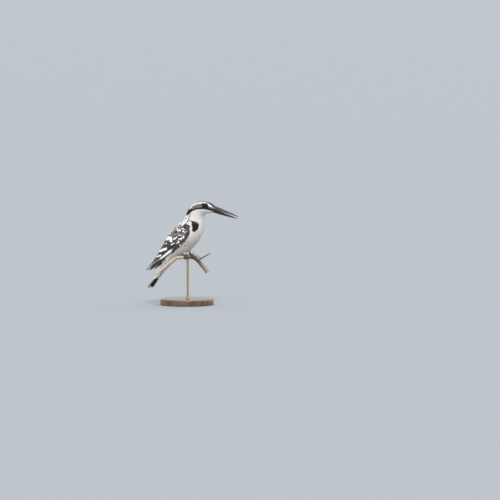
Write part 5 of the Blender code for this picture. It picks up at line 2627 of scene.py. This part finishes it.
    def _tarsus(self, name: str) -> Mesh:
        """The short leg from the ankle up into the belly feathers.

        Args:
            name: the side.

        Returns:
            The mesh.
        """
        ankle, heel, front, across, _ = self.leg(name)
        share = np.linspace(0, 1, 30)
        radii = self.tarsus_radius * (0.86 + 0.2 * share + 0.25 * np.exp(-share * 9))
        radii *= 1 + 0.05 * np.abs(np.sin(share * 8 * math.pi))
        radii[-1] *= 0.6
        return tube("tarsus", ankle + np.outer(share, heel - ankle), front, across, radii, 20)


# --- stand


@dataclass
class Stand:
    """The turned base and the rod, with a collar at the rod's foot."""

    collar_radius: float = 4.6
    collar_height: float = 3.2

    def build(self, wood: Material, brass: Material) -> None:
        """Turns the stand.

        Args:
            wood: the base's material.
            brass: the rod's material.
        """
        low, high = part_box("stand_base")
        foot, reach = high.z / MM, (high.x - low.x) / MM / 2
        board = (
            (reach - 0.6, 0.0), (reach, 0.6), (reach, foot - 2.6), (reach - 0.3, foot - 1.5),
            (reach - 0.95, foot - 0.7), (reach - 1.9, foot - 0.2), (reach - 2.9, foot), (reach * 0.5, foot),
        )
        middle = millimetres(np.array((low + high) / 2))
        piece = self._turned("base_board", board, middle, 0.0, wood, Slot.WOOD, sides=180)
        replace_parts(piece, "stand_base")
        low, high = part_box("stand_rod")
        middle = millimetres(np.array((low + high) / 2))
        rod, top = (high.x - low.x) / MM / 2, (high.z - low.z) / MM
        collar = (
            (rod + 0.05, 0.0), (self.collar_radius, 0.0), (self.collar_radius, 0.9),
            (self.collar_radius - 0.35, 1.25), (rod + 1.0, 1.6), (rod + 0.7, 2.2),
            (rod + 0.65, self.collar_height - 0.3), (rod + 0.05, self.collar_height),
        )
        self._turned("rod_collar", collar, middle, foot, brass, Slot.BRASS, capped=False)
        shaft = ((rod, 0.0), (rod, top * 0.5), (rod, top - 0.2), (rod - 0.2, top))
        piece = self._turned("rod_shaft", shaft, middle, low.z / MM, brass, Slot.BRASS)
        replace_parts(piece, "stand_rod")

    @staticmethod
    def _turned(
        name: str, profile: Table, middle: Array, foot: float, finish: Material, slot: Slot,
        capped: bool = True, sides: int = 64,
    ) -> Piece:
        """A turned piece.

        Args:
            name: its name.
            profile: radius and height of each ring.
            middle: a point on its axis.
            foot: the height that the profile starts from.
            finish: its material.
            slot: not used.
            capped: whether its ends are closed; an open profile joins its last ring to its first.
            sides: how many sides it has.

        Returns:
            The piece.
        """
        ring = np.stack((np.cos(circle(sides)), np.sin(circle(sides)), np.zeros(sides)), -1)
        rings = [ring * radius + (middle[0], middle[1], foot + height) for radius, height in profile]
        mesh = ring_mesh(name, np.array(rings), capped, not capped)
        mesh.set_sharp_from_angle(angle=math.radians(35))
        return add_piece(name, mesh, finish)


# --- studio


@dataclass
class Studio:
    """The floor, the light and the camera."""

    azimuth: float = -72.0
    elevation: float = 4.0
    distance: float = 12.0
    view_width: float = 1.025
    aim_height: float = 0.1
    aside: float = 0.12915  # of the aim, to the camera's right
    raised: float = 0.0123
    sensor: float = 36.0
    floor_half: float = 150.0
    floor_gap: float = 0.0002
    sky: Colour = (0.94, 0.97, 1.0, 1.0)
    sky_strength: float = 0.9
    # name, where it stands, power, spread in degrees, colour
    lamps: tuple[tuple[str, Triple, float, float, Triple], ...] = (
        ("key", (-0.85, -0.3, 0.95), 2.4, 22.0, (1.0, 0.97, 0.93)),
        ("fill", (0.8, -0.6, 0.7), 0.5, 50.0, (0.95, 0.97, 1.0)),
    )

    def build(self, floor_finish: Material) -> None:
        """Sets the stage.

        Args:
            floor_finish: the floor's material.
        """
        self._floor(floor_finish)
        self._lights()
        self._camera()

    def _floor(self, finish: Material) -> None:
        """A wide flat floor.

        Args:
            finish: its material.
        """
        bm = bmesh.new()
        bmesh.ops.create_grid(bm, x_segments=2, y_segments=2, size=self.floor_half)
        mesh = bpy.data.meshes.new("floor")
        bm.to_mesh(mesh)
        bm.free()
        mesh.materials.append(finish)
        floor = bpy.data.objects.new("floor", mesh)
        floor.location.z = -self.floor_gap
        bpy.context.scene.collection.objects.link(floor)

    def _lights(self) -> None:
        """A bright even sky, a high soft key from the camera's side and a low fill."""
        bpy.context.scene.view_settings.view_transform = "Standard"
        world = bpy.data.worlds.new("studio")
        bpy.context.scene.world = world
        world.use_nodes = True
        back = world.node_tree.nodes["Background"]
        back.inputs["Color"].default_value = self.sky
        back.inputs["Strength"].default_value = self.sky_strength
        for name, way, power, spread, tint in self.lamps:
            lamp = bpy.data.lights.new(name, "SUN")
            lamp.energy, lamp.angle, lamp.color = power, math.radians(spread), tint
            self._aimed(name, lamp, Vector(way))

    def _camera(self) -> None:
        """The camera, far off with a long lens."""
        a, e = math.radians(self.azimuth), math.radians(self.elevation)
        right = Vector((math.cos(a), math.sin(a), 0.0))
        back = Vector((math.sin(a) * math.cos(e), -math.cos(a) * math.cos(e), math.sin(e)))
        aim = Vector((0.0, 0.0, self.aim_height)) + right * self.aside + back.cross(right) * self.raised
        data = bpy.data.cameras.new("camera")
        data.sensor_width = self.sensor
        data.lens = self.sensor * self.distance / self.view_width
        data.clip_start = 0.1
        data.clip_end = 4 * self.floor_half
        camera = self._aimed("camera", data, back)
        camera.location = aim + back * self.distance
        bpy.context.scene.camera = camera

    @staticmethod
    def _aimed(name: str, data: bpy.types.ID, back: Vector) -> Piece:
        """Adds a lamp or a camera whose back is turned to a direction.

        Args:
            name: the object's name.
            data: the lamp or the camera.
            back: that direction.

        Returns:
            The object.
        """
        made = bpy.data.objects.new(name, data)
        made.rotation_mode = "QUATERNION"
        made.rotation_quaternion = back.to_track_quat("Z", "Y")
        bpy.context.scene.collection.objects.link(made)
        return made


def main() -> None:
    """Builds the bird, its perch, its stand and the studio."""
    logging.basicConfig(level=logging.INFO, format="%(name)s: %(message)s")
    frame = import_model()
    nodes = frame["nodes"]
    Studio().build(Backdrop("pale_floor").build())
    form = Form().read(nodes)
    LOG.info("outer form read")
    markings = Markings()
    pied = Plumage("pied_feathers").build()
    dark = Plumage("dark_feathers", roughness=0.56).build()
    soft = Plumage("body_feathers", roughness=0.75, sheen=0.06, softness=0.25, barbs=3.2).build()
    hide = Hide("foot_hide").build()
    horn = Horn("black_horn").build()
    eye = Eye()
    swatches = Swatches(form, markings)
    Hull(form, swatches).build(nodes, Skin("skin_under_coat").build())
    BodyCoat(form, markings, eye).build(soft)
    TailCoverts(form).build(soft)
    for seed, side in enumerate(SIDES):
        Wing(form, markings, side, 40 + seed).build(dark, pied)
        LOG.info("%s wing dressed", side)
    Tail().build(dark)
    lid_hide = Hide("lid_hide", (0.004, 0.003, 0.004, 1.0), (0.016, 0.012, 0.013, 1.0), 2600.0)
    eye.build(WetEye("wet_eye").build(), lid_hide.build(), soft, swatches)
    Bill().build(horn)
    perch = Perch()
    perch.build(Bark("thorn_bark").build())
    feet = Feet(perch)
    feet.build(hide, horn)
    ThighFeathers(feet).build(soft)
    Stand().build(Walnut("varnished_walnut").build(), Brass("turned_brass").build())
    LOG.info("all pieces made")


if __name__ == "__main__":
    main()
